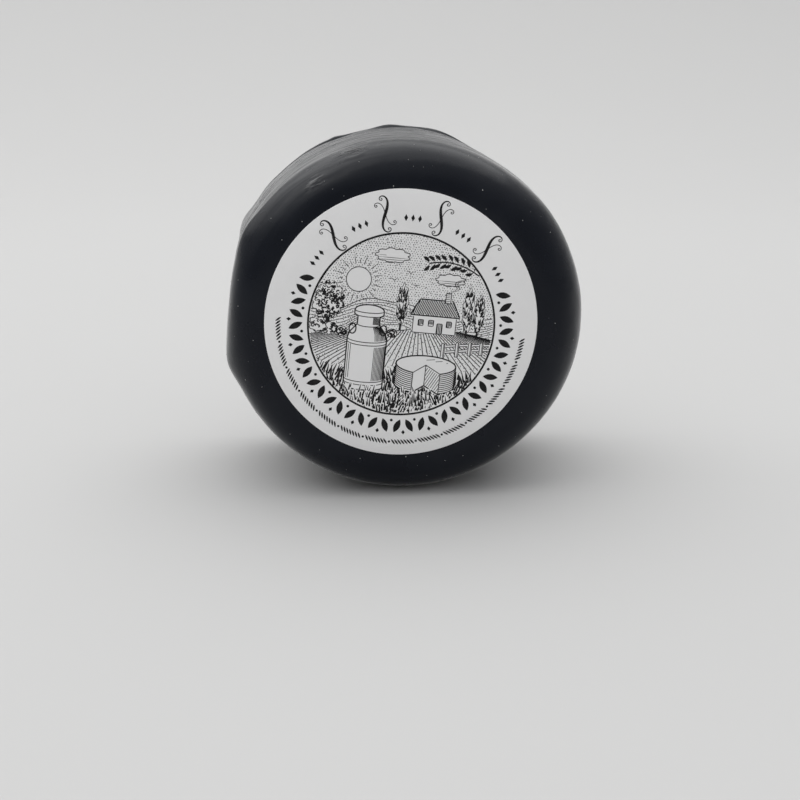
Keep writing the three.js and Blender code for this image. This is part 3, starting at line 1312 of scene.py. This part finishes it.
@dataclass
class FarmPicture:
    """The engraving in the middle of the label: a dairy farm with a churn and a cut cheese."""

    radius: float = 20.1
    seed: int = 7
    bold: float = 0.28
    fine: float = 0.18
    hair: float = 0.13
    blade_wide: float = 0.4
    blade_apart: float = 0.46
    blade_gap: float = 0.1
    churn_foot: Point2 = (-7.2, -14.4)
    churn_half: float = 4.3
    churn_body: float = 11.0
    cheese_top: Point2 = (6.3, -8.4)
    cheese_radii: Point2 = (6.6, 2.1)
    cheese_tall: float = 4.7
    cut_from: float = 246.0
    cut_to: float = 300.0
    house_foot: Point2 = (2.4, -1.2)
    house_wide: float = 9.4
    house_wall: float = 3.9
    house_roof: float = 3.6
    sun: Point2 = (-10.2, 9.4)
    sun_radius: float = 2.7
    # Where each stands, then its height and half width, or its size
    posts: Rows = ((9.2, -6.6, 3.3), (12.3, -6.0, 3.1), (15.1, -5.5, 2.9), (17.6, -5.2, 2.7))
    trees: Rows = ((14.2, -1.2, 9.6, 1.25), (16.6, -1.0, 8.0, 1.15), (-0.3, -0.6, 8.8, 1.2))
    bushes: Rows = ((-18.2, -1.2, 1.9), (-15.4, -1.9, 1.6), (-13.0, -2.3, 1.3), (-1.9, -1.9, 1.1))
    clouds: Rows = ((-3.4, 15.2, 3.6), (9.6, 10.9, 3.1))
    birds: Rows = ((-2.6, 9.8, 1.1), (0.8, 11.6, 1.0), (2.2, 8.9, 0.8))

    def draw(self) -> Sketch:
        """Draws the whole picture, from its front to its back."""
        sketch = Sketch(self.radius, self.seed)
        self.twig(sketch)
        self.front_blades(sketch)
        self.churn(sketch)
        self.cut_cheese(sketch)
        self.grass(sketch)
        self.fence(sketch)
        self.house(sketch)
        self.poplars(sketch)
        self.hedge(sketch)
        self.fields(sketch)
        self.sky(sketch)
        return sketch

    @staticmethod
    def ground(x: np.ndarray) -> np.ndarray:
        """The upper edge of the long grass."""
        return -9.4 + 1.1 * np.sin(0.21 * x + 0.4) + 0.35 * np.sin(0.9 * x)

    @staticmethod
    def near_hill(x: np.ndarray) -> np.ndarray:
        """The ridge of the nearer hill."""
        return -1.4 + 1.2 * np.sin(0.15 * x + 0.3)

    @staticmethod
    def far_hill(x: np.ndarray) -> np.ndarray:
        """The ridge of the farther hill."""
        return 3.6 + 1.9 * np.sin(0.2 * x + 2.4) + 0.4 * np.sin(0.55 * x)

    def blade(self, sketch: Sketch, foot: Point2, tall: float, clear: bool = False) -> None:
        """Draws one blade of grass, which leans with its neighbours.

        Args:
            sketch: Where it is drawn.
            foot: Where it grows.
            tall: How tall it is.
            clear: Whether it stands clear of what is drawn later.
        """
        lean = 0.3 * math.sin(0.3 * foot[0] + 0.6 * foot[1]) + sketch.rng.normal(0.0, 0.1)
        bend = sketch.rng.normal(0.0, 0.14)
        share = np.linspace(0, 1, 5)
        points = np.array(foot) + tall * np.column_stack([lean * share + bend * share**2, share])
        sketch.line(points, self.blade_wide, ends=Ends.TAPERED, step=0.5)
        if clear:
            half = (self.blade_wide / 2 + self.blade_gap) * (1 - 0.6 * share)[:, None] * (1, 0)
            sketch.cover(np.vstack([points - half, (points + half)[::-1]]))

    def twig(self, sketch: Sketch) -> None:
        """Draws a leafy twig that hangs into the sky from the right."""
        t = np.linspace(0, 1, 10)
        stem = np.column_stack([15.6 - 11.0 * t, 12.4 + 7.0 * t - 5.2 * t**2])
        sketch.line(stem, self.bold)
        for k in range(1, len(stem)):
            along = stem[k] - stem[k - 1]
            for side_way in (-1, 1):
                turn = math.atan2(along[1], along[0]) + side_way * 0.8 + sketch.rng.normal(0, 0.15)
                share = np.linspace(0, 1, 8)
                bow = 0.25 * side_way * np.sin(np.pi * share)
                leaf = np.column_stack([share * np.cos(turn), share * np.sin(turn)]) * 2.0
                leaf += np.column_stack([-bow * np.sin(turn), bow * np.cos(turn)])
                sketch.line(stem[k] + leaf, 0.72, ends=Ends.LEAF, step=0.18)

    def front_blades(self, sketch: Sketch) -> None:
        """Draws the blades that stand before everything else."""
        for y in np.sort(sketch.rng.uniform(-20.5, -15.6, 150)):
            self.blade(sketch, (sketch.rng.uniform(-14, 14), y), sketch.rng.uniform(1.6, 2.8), clear=True)

    def grass(self, sketch: Sketch) -> None:
        """Draws the long dark grass up to its edge, in columns that stand side by side."""
        for x in np.arange(-19, 19, self.blade_apart):
            y = -self.radius - sketch.rng.uniform(0, 2)
            while y < self.ground(x) - 1.2:
                tall = sketch.rng.uniform(1.4, 2.6)
                self.blade(sketch, (x + sketch.rng.normal(0, 0.06), y), tall)
                y += 0.62 * tall
        x = np.linspace(-self.radius, self.radius, 60)
        region = np.column_stack([x, self.ground(x)])
        sketch.cover(np.vstack([region, [(self.radius, -self.radius), (-self.radius, -self.radius)]]))

    def churn(self, sketch: Sketch) -> None:
        """Draws the milk churn, which the light reaches from the left."""
        foot, half, body = np.array(self.churn_foot), self.churn_half, self.churn_body
        neck, brim, dip = half * 0.56, half * 0.74, 0.9
        side = [(half, 0), (half, body), (half * 0.9, body + 1.2), (neck, body + 3.0), (neck, body + 4.8)]
        side = np.array([*side, (brim, body + 5.2), (brim, body + 6.1)])
        lid = arc((0, body + 6.1), (brim, 1.3), 0, 180)
        base = arc((0, 0), (half, dip), 180, 360)
        outline = foot + np.vstack([base, side, lid, side[::-1] * (-1, 1)])
        for height, radius in ((1.1, half), (1.8, half), (body - 0.9, half), (body - 0.2, half)):
            sketch.line(foot + arc((0, height), (radius, dip), 180, 360), self.fine)
        for height, radius in ((body + 3.0, neck), (body + 5.2, brim), (body + 6.1, brim)):
            sketch.line(foot + arc((0, height), (radius, 0.55), 180, 360), self.fine)
        for share in np.linspace(0.42, 0.95, 9):
            x = half * share
            sag = dip * math.sqrt(1 - share**2)
            width = self.hair + 0.1 * share**3
            sketch.line(foot + np.array([(x, 2.1 - sag), (x, body - 1.3 - sag)]), width)
            top = [(x, body + 0.1 - sag), (x * 0.93, body + 1.2 - 0.5 * sag), (x * 0.6, body + 2.6)]
            sketch.line(foot + np.array(top), width)
            sketch.line(foot + np.array([(neck * share, body + 3.0), (neck * share, body + 4.6)]), self.hair)
        for share in (-0.9, -0.8):
            sketch.line(foot + np.array([(half * share, 1.8), (half * share, body - 1.6)]), self.hair)
        for side_way in (-1, 1):
            sketch.line(foot + arc((side_way * half * 0.78, body + 1.9), (0.75, 1.15), 0, 360), self.bold)
        sketch.outline(outline, self.bold)

    def cut_cheese(self, sketch: Sketch) -> None:
        """Draws a round cheese with a wedge taken out at the front."""
        middle, radii, tall = np.array(self.cheese_top), self.cheese_radii, self.cheese_tall
        drop = np.array([0, tall])
        left = arc(middle, radii, 180, self.cut_from)
        right = arc(middle, radii, self.cut_to, 360)
        sketch.line(arc(middle, radii, self.cut_to - 360, self.cut_from, 50), self.bold)
        for edge in (left[-1], right[0], middle):
            sketch.line([edge, edge - drop], self.fine)
        for edge in (left[-1], right[0]):
            sketch.line([edge, middle], self.fine)
        for stretch in (left, right):
            for depth in np.arange(0.45, tall, 0.45):
                sketch.line(stretch - (0, depth), self.fine)
        inner = np.array([right[0], middle, middle - drop, right[0] - drop])
        sketch.hatch(inner, 62, 0.5, self.hair)
        sketch.hatch(arc(middle + (0.4, 0.2), (radii[0] * 0.8, radii[1] * 0.6), 20, 120), 8, 0.5, self.hair)
        back = arc(middle, radii, 0, 180)
        sketch.outline(np.vstack([back, left - drop, [middle - drop], right - drop]), self.bold)

    def fence(self, sketch: Sketch) -> None:
        """Draws a post and rail fence down the right side."""
        for x, y, tall in self.posts:
            post = [(x, y), (x + 0.75, y), (x + 0.7, y + tall), (x + 0.35, y + tall + 0.25), (x, y + tall)]
            sketch.line([(x + 0.5, y), (x + 0.5, y + tall)], self.hair)
            sketch.outline(np.array(post), self.fine)
        for share in (0.32, 0.74):
            low = [(x, y + tall * share) for x, y, tall in self.posts]
            low = np.array([*low, (20.5, -4.7 + 2.4 * share)])
            rail = np.vstack([low, low[::-1] + (0, 0.5)])
            sketch.outline(rail, self.fine)

    def house(self, sketch: Sketch) -> None:
        """Draws the white farmhouse with its chimney and a smoke trail."""
        x, y = self.house_foot
        wide, wall, roof = self.house_wide, self.house_wall, self.house_roof
        left, right, low, high = x + wide * 0.7, x + wide * 0.82, y + wall + roof - 0.6, y + wall + roof + 1.7
        stack = np.array([(left, low), (right, low), (right, high), (left, high)])
        sketch.hatch(stack, 0, 0.4, self.hair)
        sketch.outline(stack, self.fine)
        slope = [(x - 0.7, y + wall), (x + 1.1, y + wall + roof), (x + wide - 1.1, y + wall + roof)]
        slope = np.array([*slope, (x + wide + 0.7, y + wall)])
        sketch.hatch(slope, 72, 0.36, self.fine + 0.03)
        sketch.outline(slope, self.bold)
        for share in (0.12, 0.36, 0.78):
            pane = np.array([(0, 0), (1.1, 0), (1.1, 1.3), (0, 1.3)]) + (x + wide * share, y + wall * 0.42)
            sketch.hatch(pane, 90, 0.27, self.fine)
            sketch.outline(pane, self.fine)
        door = np.array([(0, 0), (1.2, 0), (1.2, 2.3), (0, 2.3)]) + (x + wide * 0.56, y)
        sketch.hatch(door, 90, 0.3, self.fine)
        sketch.outline(door, self.fine)
        front = np.array([(x, y), (x + wide, y), (x + wide, y + wall), (x, y + wall)])
        sketch.outline(front, self.fine)
        t = np.linspace(0, 1, 30)
        drift, rise = x + wide * 0.76 + 3.0 * t + 0.8 * np.sin(7 * t), y + wall + roof + 1.9 + 3.4 * t
        smoke = np.column_stack([drift, rise])
        for shift in (0.0, 0.5):
            sketch.line(smoke + (shift, 0), self.fine, ends=Ends.SWELLING)

    def poplars(self, sketch: Sketch) -> None:
        """Draws the tall narrow trees beside the house."""
        for x, y, tall, half in self.trees:
            t = np.radians(np.linspace(0, 360, 40, endpoint=False))
            ragged = 1 + 0.1 * np.sin(9 * t)
            above = y + 1 + tall / 2 * (1 + np.sin(t) * ragged)
            crown = np.column_stack([x + half * ragged * np.cos(t), above])
            for _ in range(110):
                across = sketch.rng.uniform(x - half, x + half)
                foot = np.array([across, sketch.rng.uniform(y + 0.6, y + tall)])
                turn = sketch.rng.normal(0.0, 0.2) + 0.35 * (foot[0] - x)
                tip = foot + (turn, sketch.rng.uniform(0.7, 1.3))
                sketch.line([foot, tip], self.bold, crown, Ends.TAPERED, 0.4)
            sketch.outline(crown, self.hair)
            sketch.line([(x, y - 0.4), (x, y + 1.4)], self.bold * 1.6)

    @staticmethod
    def puffs(centre: Point2, radii: Point2, count: int) -> np.ndarray:
        """The scalloped outline of a cloud, a bush or a tree's crown.

        Args:
            centre: Its middle.
            radii: Its half width and half height.
            count: How many scallops it has.

        Returns:
            The outline.
        """
        t = np.linspace(0, 2 * np.pi, 10 * count, endpoint=False)
        bulge = 0.88 + 0.2 * np.abs(np.sin(count * t / 2))
        across, up = radii[0] * bulge * np.cos(t), radii[1] * bulge * np.sin(t)
        return np.column_stack([centre[0] + across, centre[1] + up])

    def scribble(self, sketch: Sketch, crown: np.ndarray, count: int) -> None:
        """Fills a crown with small bowed strokes, thicker where the light doesn't reach."""
        low, high = crown.min(axis=0), crown.max(axis=0)
        for _ in range(count):
            at = sketch.rng.uniform(low, high)
            share = (at - low) / (high - low)
            shade = float(np.clip(0.55 + 0.6 * (share[0] - share[1]), 0.25, 1))
            turn = sketch.rng.uniform(0, 360)
            leaf = arc(tuple(at), (0.32, 0.26), turn, turn + 190, 7)
            sketch.line(leaf, 0.14 + 0.26 * shade, crown, step=0.2)

    def hedge(self, sketch: Sketch) -> None:
        """Draws the bushes and the round tree along the left field."""
        for x, y, half in self.bushes:
            bush = self.puffs((x, y), (half, half * 0.85), 9)
            self.scribble(sketch, bush, 26)
            sketch.outline(bush, self.fine)
        crown = self.puffs((-16.4, 4.4), (3.4, 3.9), 13)
        self.scribble(sketch, crown, 190)
        sketch.outline(crown, self.fine)
        sketch.line([(-16.2, 1.6), (-16.0, -1.6)], self.bold * 3)

    def fields(self, sketch: Sketch) -> None:
        """Draws the ploughed field, the nearer hill and the farther one."""
        x = np.linspace(-self.radius - 1, self.radius + 1, 70)
        low = [(self.radius, -12.0), (-self.radius, -12.0)]
        near = np.vstack([np.column_stack([x, self.near_hill(x)]), low])
        for start in np.arange(-46, 60, 1.75):
            t = np.linspace(0, 1, 24)
            end = np.array([3.0 + start * 0.1, 1.8])
            furrow = np.column_stack([start + (end[0] - start) * t, -14 + (end[1] + 14) * t**0.8])
            sketch.line(furrow, self.fine, near)
        sketch.stipple(near, 0.75, 0.1, 0.3)
        sketch.outline(near, self.fine)
        far = np.vstack([np.column_stack([x, self.far_hill(x)]), low])
        for lower in np.arange(0.7, 5.2, 0.62):
            row = np.column_stack([x, self.far_hill(x) - lower - 0.25 * np.sin(0.7 * x + lower)])
            sketch.line(row, self.hair, far)
        sketch.stipple(far, 0.6, 0.11, 0.2)
        sketch.outline(far, self.fine)

    def sky(self, sketch: Sketch) -> None:
        """Draws the sun, the clouds and the birds, and stipples what is left of the sky."""
        disc = arc(self.sun, (self.sun_radius, self.sun_radius), 0, 351, 40)
        sketch.outline(disc, self.fine)
        for k in range(24):
            turn = math.radians(15 * k)
            way = np.array([math.cos(turn), math.sin(turn)])
            reach = (3.5, 5.6) if k % 2 else (3.5, 4.6)
            sketch.line([self.sun + way * r for r in reach], self.fine, ends=Ends.TAPERED)
        for x, y, half in self.clouds:
            cloud = self.puffs((x, y), (half, half * 0.42), 9)
            sketch.hatch(cloud[len(cloud) // 2 :], 0, 0.45, self.hair, Ends.SWELLING)
            sketch.outline(cloud, self.fine)
        for x, y, size in self.birds:
            wings = np.array([(-1, 0.35), (-0.5, 0.5), (0, 0), (0.5, 0.5), (1, 0.35)]) * size + (x, y)
            sketch.line(wings, self.fine, ends=Ends.SWELLING)
        sketch.stipple(None, 0.56, 0.115, 0.12)


@dataclass(frozen=True)
class OrnamentRing:
    """One printed shape that repeats along an arc of the label."""

    name: str
    corners: int
    pointed: float
    long: float
    wide: float
    radius: float
    start: float
    step: float
    count: int
    tilt: float = 0.0
    alternate: float = 0.0
    group: int = 1
    gap: float = 0.0

    def tree(self, ink: "LabelPrint") -> GeometryTree:
        """The tree that lays the shapes along the arc.

        Args:
            ink: The print, which gives the ink's height and material.

        Returns:
            The finished tree.
        """
        sizes = {
            "Corners": self.corners,
            "Pointed": self.pointed,
            "Half length": self.long / 2 * MM,
            "Half width": self.wide / 2 * MM,
            "Ink height": ink.height * MM,
            "Radius": self.radius * MM,
            "Start": math.radians(self.start),
            "Step": math.radians(self.step),
            "Count": self.count,
            "Group": float(self.group),
            "Gap": math.radians(self.gap),
            "Tilt": math.radians(self.tilt),
            "Alternate": self.alternate,
        }
        tree = GeometryTree(self.name, sizes)
        times = tree.times
        index = tree.add("GeometryNodeInputIndex").outputs[0]
        gaps = times(tree.math("FLOOR", tree.math("DIVIDE", index, tree.size("Group"))), tree.size("Gap"))
        angle = tree.total(tree.size("Start"), times(index, tree.size("Step")), gaps)
        across = times(tree.size("Radius"), tree.math("COSINE", angle))
        up = times(tree.size("Radius"), tree.math("SINE", angle))
        row = tree.add("GeometryNodeMeshLine", {"Count": tree.size("Count")}).outputs[0]
        place = tree.add("ShaderNodeCombineXYZ", {"X": across, "Y": up}).outputs[0]
        row = tree.add("GeometryNodeSetPosition", {"Geometry": row, "Position": place}).outputs[0]
        round_shape = {"Vertices": tree.size("Corners"), "Radius": 1.0, "Depth": 2.0}
        shape = tree.add("GeometryNodeMeshCylinder", round_shape).outputs[0]
        corner = tree.add("ShaderNodeSeparateXYZ", {0: tree.add("GeometryNodeInputPosition").outputs[0]})
        beside = corner.outputs["Y"]
        narrow = times(tree.less(tree.math("ABSOLUTE", beside), 1.0), beside)
        pinch = tree.add("ShaderNodeCombineXYZ", {"Y": times(narrow, tree.size("Pointed"))}).outputs[0]
        shape = tree.add("GeometryNodeSetPosition", {"Geometry": shape, "Offset": pinch}).outputs[0]
        other = times(tree.math("MODULO", index, 2.0), times(tree.size("Alternate"), 2.0))
        lean = times(tree.size("Tilt"), tree.less(1.0, other))
        turn = tree.add("ShaderNodeCombineXYZ", {"Z": tree.total(angle, lean)}).outputs[0]
        scale = {"X": tree.size("Half length"), "Y": tree.size("Half width"), "Z": tree.size("Ink height")}
        scale = tree.add("ShaderNodeCombineXYZ", scale).outputs[0]
        tree.close(tree.repeat(row, shape, scale, turn), ink.material)
        return tree


@dataclass
class LabelPrint:
    """All that is printed on the label, in its own flat frame and then laid on the paper."""

    turned: float = -6.0
    height: float = 0.02
    line_flatness: float = 0.22
    dot_corners: int = 6
    dot_flatness: float = 0.3
    ring_radius: float = 20.3
    ring_width: float = 0.42
    picture: FarmPicture = field(default_factory=FarmPicture)
    scroll_angles: tuple[float, ...] = (132.0, 104.0, 76.0, 48.0)
    scroll_radius: float = 24.7
    scroll_size: float = 7.0
    scroll_lean: float = 64.0
    hairline_half: float = 0.08
    finish: PrintInk = PrintInk("label_ink", (0.007, 0.007, 0.008), 0.55, 1.3)

    def __post_init__(self) -> None:
        """Makes the ink, which all the pieces share."""
        self.material = self.finish.material()

    def ornaments(self) -> tuple[OrnamentRing, ...]:
        """The rows of shapes round the picture. All are even about the label's foot, at 270."""
        leaf = 6.8
        first = 270 - 16.5 * leaf
        tick, space = 1.5, 2.35
        word = 7 * tick + space
        low = 270 - (14 * word - tick - space) / 2
        bead = low + 6 * tick + (tick + space) / 2
        # Name, corners, pointed, long, wide, radius, start, step, count, tilt, alternate, group, gap
        return (
            OrnamentRing("label_leaves", 16, 1.0, 3.3, 1.4, 23.0, first, leaf, 34, 24.0, 1.0),
            OrnamentRing("label_lozenges", 4, 0.0, 1.05, 0.8, 24.5, first + leaf * 1.5, leaf * 2, 16),
            OrnamentRing("label_berries", 10, 0.0, 0.64, 0.64, 21.7, first + leaf * 0.5, leaf * 2, 17),
            OrnamentRing("label_rope", 8, 0.6, 1.5, 0.42, 26.75, low, tick, 98, 38.0, 0.0, 7, space),
            OrnamentRing("label_beads", 8, 0.0, 0.55, 0.55, 26.75, bead, word, 13),
            OrnamentRing("label_crown", 4, 0.0, 1.5, 0.8, 23.6, 30.4, 3.6, 15, 0.0, 0.0, 3, 28 - 3 * 3.6),
        )

    def pen_tree(self) -> GeometryTree:
        """The tree that turns a wire with a width at each point into flat closed strokes."""
        tree = GeometryTree("pen_lines", {"Flatness": self.line_flatness})
        curve = tree.add("GeometryNodeMeshToCurve", {"Mesh": tree.start.outputs[0]}).outputs[0]
        level = tree.add("GeometryNodeSetCurveNormal", {"Curve": curve}, mode="Z_UP").outputs[0]
        nib = {"Width": 2.0, "Height": tree.size("Flatness")}
        nib = tree.add("GeometryNodeCurvePrimitiveQuadrilateral", nib).outputs[0]
        stroke = {"Curve": level, "Profile Curve": nib, "Scale": tree.attribute("pen"), "Fill Caps": True}
        tree.close(tree.add("GeometryNodeCurveToMesh", stroke).outputs[0], self.material)
        return tree

    def dot_tree(self) -> GeometryTree:
        """The tree that puts a small flat dot at each point."""
        tree = GeometryTree("stipple", {"Corners": self.dot_corners, "Flatness": self.dot_flatness})
        disc = {"Vertices": tree.size("Corners"), "Radius": 1.0, "Depth": tree.size("Flatness")}
        dot = tree.add("GeometryNodeMeshCylinder", disc).outputs[0]
        tree.close(tree.repeat(tree.start.outputs[0], dot, tree.attribute("dot")), self.material)
        return tree

    @staticmethod
    def wire(lines: list[PenLine]) -> Mesh:
        """Joins pen lines into one mesh of edges that stores the pen's half width at each point.

        Args:
            lines: Each line's points and the pen's half width at each of them.

        Returns:
            The mesh.
        """
        mesh = bpy.data.meshes.new("wire")
        points = np.vstack([line for line, _ in lines]) * MM
        flat = np.column_stack([points, np.zeros(len(points))])
        edges: list[tuple[int, int]] = []
        first = 0
        for line, _ in lines:
            edges += [(first + k, first + k + 1) for k in range(len(line) - 1)]
            first += len(line)
        mesh.from_pydata(flat.tolist(), edges, [])
        pen = mesh.attributes.new("pen", "FLOAT", "POINT")
        pen.data.foreach_set("value", np.concatenate([widths for _, widths in lines]) * MM)
        return mesh

    def scrolls(self) -> list[PenLine]:
        """The double spirals over the picture: each a swelling stroke with a hairline across it."""
        t = np.linspace(-1, 1, 121)
        # Towards both ends the stroke bends more and its steps get shorter
        bend = 2.75 * math.pi * np.abs(t) ** 2.4
        step = 1.1 - 0.8 * np.abs(t) ** 1.4
        spiral = np.cumsum(np.column_stack([np.cos(bend), np.sin(bend)]) * step[:, None], axis=0)
        spiral -= spiral[len(t) // 2]
        spiral *= self.scroll_size / np.ptp(spiral[:, 0])
        ball = 0.16 * smooth_step(np.abs(t), 0.97, 0.985)
        # Size, extra turn and half width of the stroke and of its hairline
        thin = np.full_like(t, self.hairline_half)
        strokes = ((1.0, 0.0, thin + 0.24 * hump(t / 0.4) + ball), (0.78, 34.0, thin + ball * 0.6))
        lines = []
        for angle in self.scroll_angles:
            mirror = 1 if angle > 90 else -1
            way = math.radians(angle)
            middle = self.scroll_radius * np.array([math.cos(way), math.sin(way)])
            for size, more, widths in strokes:
                turn = math.radians(angle - 90 + (self.scroll_lean + more) * mirror)
                cos, sin = math.cos(turn), math.sin(turn)
                shape = (spiral * (size, size * mirror)) @ np.array([[cos, sin], [-sin, cos]])
                lines.append((shape + middle, widths))
        return lines

    def lay(self, piece: Object, on: Matrix) -> Object:
        """Lays a printed piece on the paper.

        Args:
            piece: The piece, in the print's own flat frame.
            on: Where that frame lies.

        Returns:
            The finished piece.
        """
        piece.data.transform(on)
        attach(piece, BODY)
        return piece

    def build(self, low: Vector, high: Vector) -> list[Object]:
        """Prints the label in the place that the frame gives it.

        Args:
            low: The lowest corner of the frame's label.
            high: Its highest corner.

        Returns:
            The finished pieces.
        """
        middle = (low + high) / 2
        on = Matrix.Translation((middle.x, low.y, middle.z))
        on = on @ Matrix.Rotation(math.radians(90), 4, "X")
        on = on @ Matrix.Rotation(math.radians(self.turned), 4, "Z")
        sketch = self.picture.draw()
        pen, dots = self.pen_tree(), self.dot_tree()
        ring = arc((0, 0), (self.ring_radius, self.ring_radius), 0, 360, 241)
        rim = [(ring, np.full(len(ring), self.ring_width / 2))]
        spots = np.vstack(sketch.dots)
        points = bpy.data.meshes.new("points")
        points.from_pydata(np.column_stack([spots[:, :2] * MM, np.zeros(len(spots))]).tolist(), [], [])
        points.attributes.new("dot", "FLOAT", "POINT").data.foreach_set("value", spots[:, 2] * MM)
        pieces = [
            pen.grow("label_picture_lines", self.wire(sketch.lines)),
            dots.grow("label_picture_stipple", points),
            pen.grow("label_ring", self.wire(rim)),
            pen.grow("label_scrolls", self.wire(self.scrolls())),
        ]
        for ring_of in self.ornaments():
            pieces.append(ring_of.tree(self).grow(ring_of.name, bpy.data.meshes.new("start")))
        return [self.lay(piece, on) for piece in pieces]


@dataclass
class Studio:
    """The plain pale floor and backdrop, the soft lights and the camera."""

    floor_front: float = -900.0
    floor_back: float = 350.0
    half_width: float = 1400.0
    sweep: float = 500.0
    sweep_steps: int = 24
    wall: float = 100.0
    camera_from_label: tuple[float, float, float] = (-16.14, -276.78, 69.99)
    camera_tilt: float = -17.41
    camera_turn: float = -3.27
    nearest: float = 10.0
    lens: float = 59.086
    sensor: float = 36.0
    overhead_place: tuple[float, float, float] = (-180, 420, 1000)
    overhead_size: Point2 = (2600, 1900)
    overhead_watts: float = 16.5
    overhead_colour: Colour = (1.0, 0.995, 0.985)
    overhead_aims_at: float = 40.0
    surroundings: Colour = (0.98, 0.99, 1.0)
    level_strength: float = 0.41
    zenith_strength: float = 0.92
    rise_span: Point2 = (0.3, 0.95)
    paper: StudioPaper = StudioPaper("studio_paper", (0.572, 0.57, 0.567), 0.85)

    def backdrop(self) -> None:
        """Lays the floor and sweeps it up into the wall behind."""
        path = [(self.floor_front, 0.0), (0.0, 0.0)]
        for turn in np.linspace(-np.pi / 2, 0, self.sweep_steps):
            path.append((self.floor_back + self.sweep * math.cos(turn), self.sweep * (1 + math.sin(turn))))
        path.append((self.floor_back + self.sweep, self.sweep + self.wall))
        points = [(x * MM, y * MM, z * MM) for y, z in path for x in (-self.half_width, self.half_width)]
        faces = [(2 * k, 2 * k + 1, 2 * k + 3, 2 * k + 2) for k in range(len(path) - 1)]
        mesh = bpy.data.meshes.new("studio_sweep")
        mesh.from_pydata(points, [], faces)
        mesh.shade_smooth()
        mesh.materials.append(self.paper.material())
        add_to_scene("studio_sweep", mesh)

    def overhead(self) -> None:
        """Hangs one wide soft light over the truckle."""
        lamp = bpy.data.lights.new("overhead", "AREA")
        lamp.shape = "RECTANGLE"
        lamp.size, lamp.size_y = (side * MM for side in self.overhead_size)
        lamp.energy = self.overhead_watts
        lamp.color = self.overhead_colour
        light = add_to_scene("overhead", lamp)
        light.location = Vector(self.overhead_place) * MM
        aim = Vector((0, 0, self.overhead_aims_at * MM)) - light.location
        light.rotation_euler = aim.to_track_quat("-Z", "Y").to_euler()

    def surround(self) -> None:
        """Sets the soft light of the room, which is stronger from above."""
        world = bpy.data.worlds.new("soft_room")
        world.use_nodes = True
        background = world.node_tree.nodes["Background"]
        background.inputs["Color"].default_value = (*self.surroundings, 1)
        canvas = NodeCanvas(world.node_tree)
        way = canvas.add("ShaderNodeTexCoord").outputs["Generated"]
        height = canvas.add("ShaderNodeSeparateXYZ", {0: way}).outputs["Z"]
        rise = canvas.ramp(height, *self.rise_span)
        rise = canvas.times(rise, self.zenith_strength - self.level_strength)
        canvas.feed(background.inputs["Strength"], canvas.total(rise, self.level_strength))
        bpy.context.scene.world = world

    def camera(self, label: Vector) -> None:
        """Sets the camera where the photograph was taken from.

        Args:
            label: The middle of the label's face, in metres.
        """
        data = bpy.data.cameras.new("camera")
        data.lens = self.lens
        data.sensor_width = self.sensor
        data.clip_start = self.nearest * MM
        camera = add_to_scene("camera", data)
        camera.location = label + Vector(self.camera_from_label) * MM
        camera.rotation_euler = (math.radians(90 + self.camera_tilt), 0, math.radians(self.camera_turn))
        bpy.context.scene.camera = camera

    def build(self, label: Vector) -> None:
        """Sets up the whole studio round the label's face."""
        self.backdrop()
        self.overhead()
        self.surround()
        self.camera(label)
        bpy.context.scene.view_settings.view_transform = "Standard"


def report(piece: Object) -> None:
    """Logs a piece's name and how many triangles it has."""
    triangles = sum(len(face.vertices) - 2 for face in piece.data.polygons)
    log.info("%s: %d triangles", piece.name, triangles)


def main() -> None:
    """Builds the truckle, its label and its studio, in that order."""
    logging.basicConfig(level=logging.INFO, format="%(name)s: %(message)s")
    low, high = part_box("paper_label")
    middle = (low + high) / 2
    wax = WaxTruckle().build(middle, high.y)
    report(wax)
    report(DustSpecks().build(wax))
    report(PaperLabel().build(low, high))
    for piece in LabelPrint().build(low, high):
        report(piece)
    Studio().build(Vector((middle.x, low.y, middle.z)))


if __name__ == "__main__":
    main()
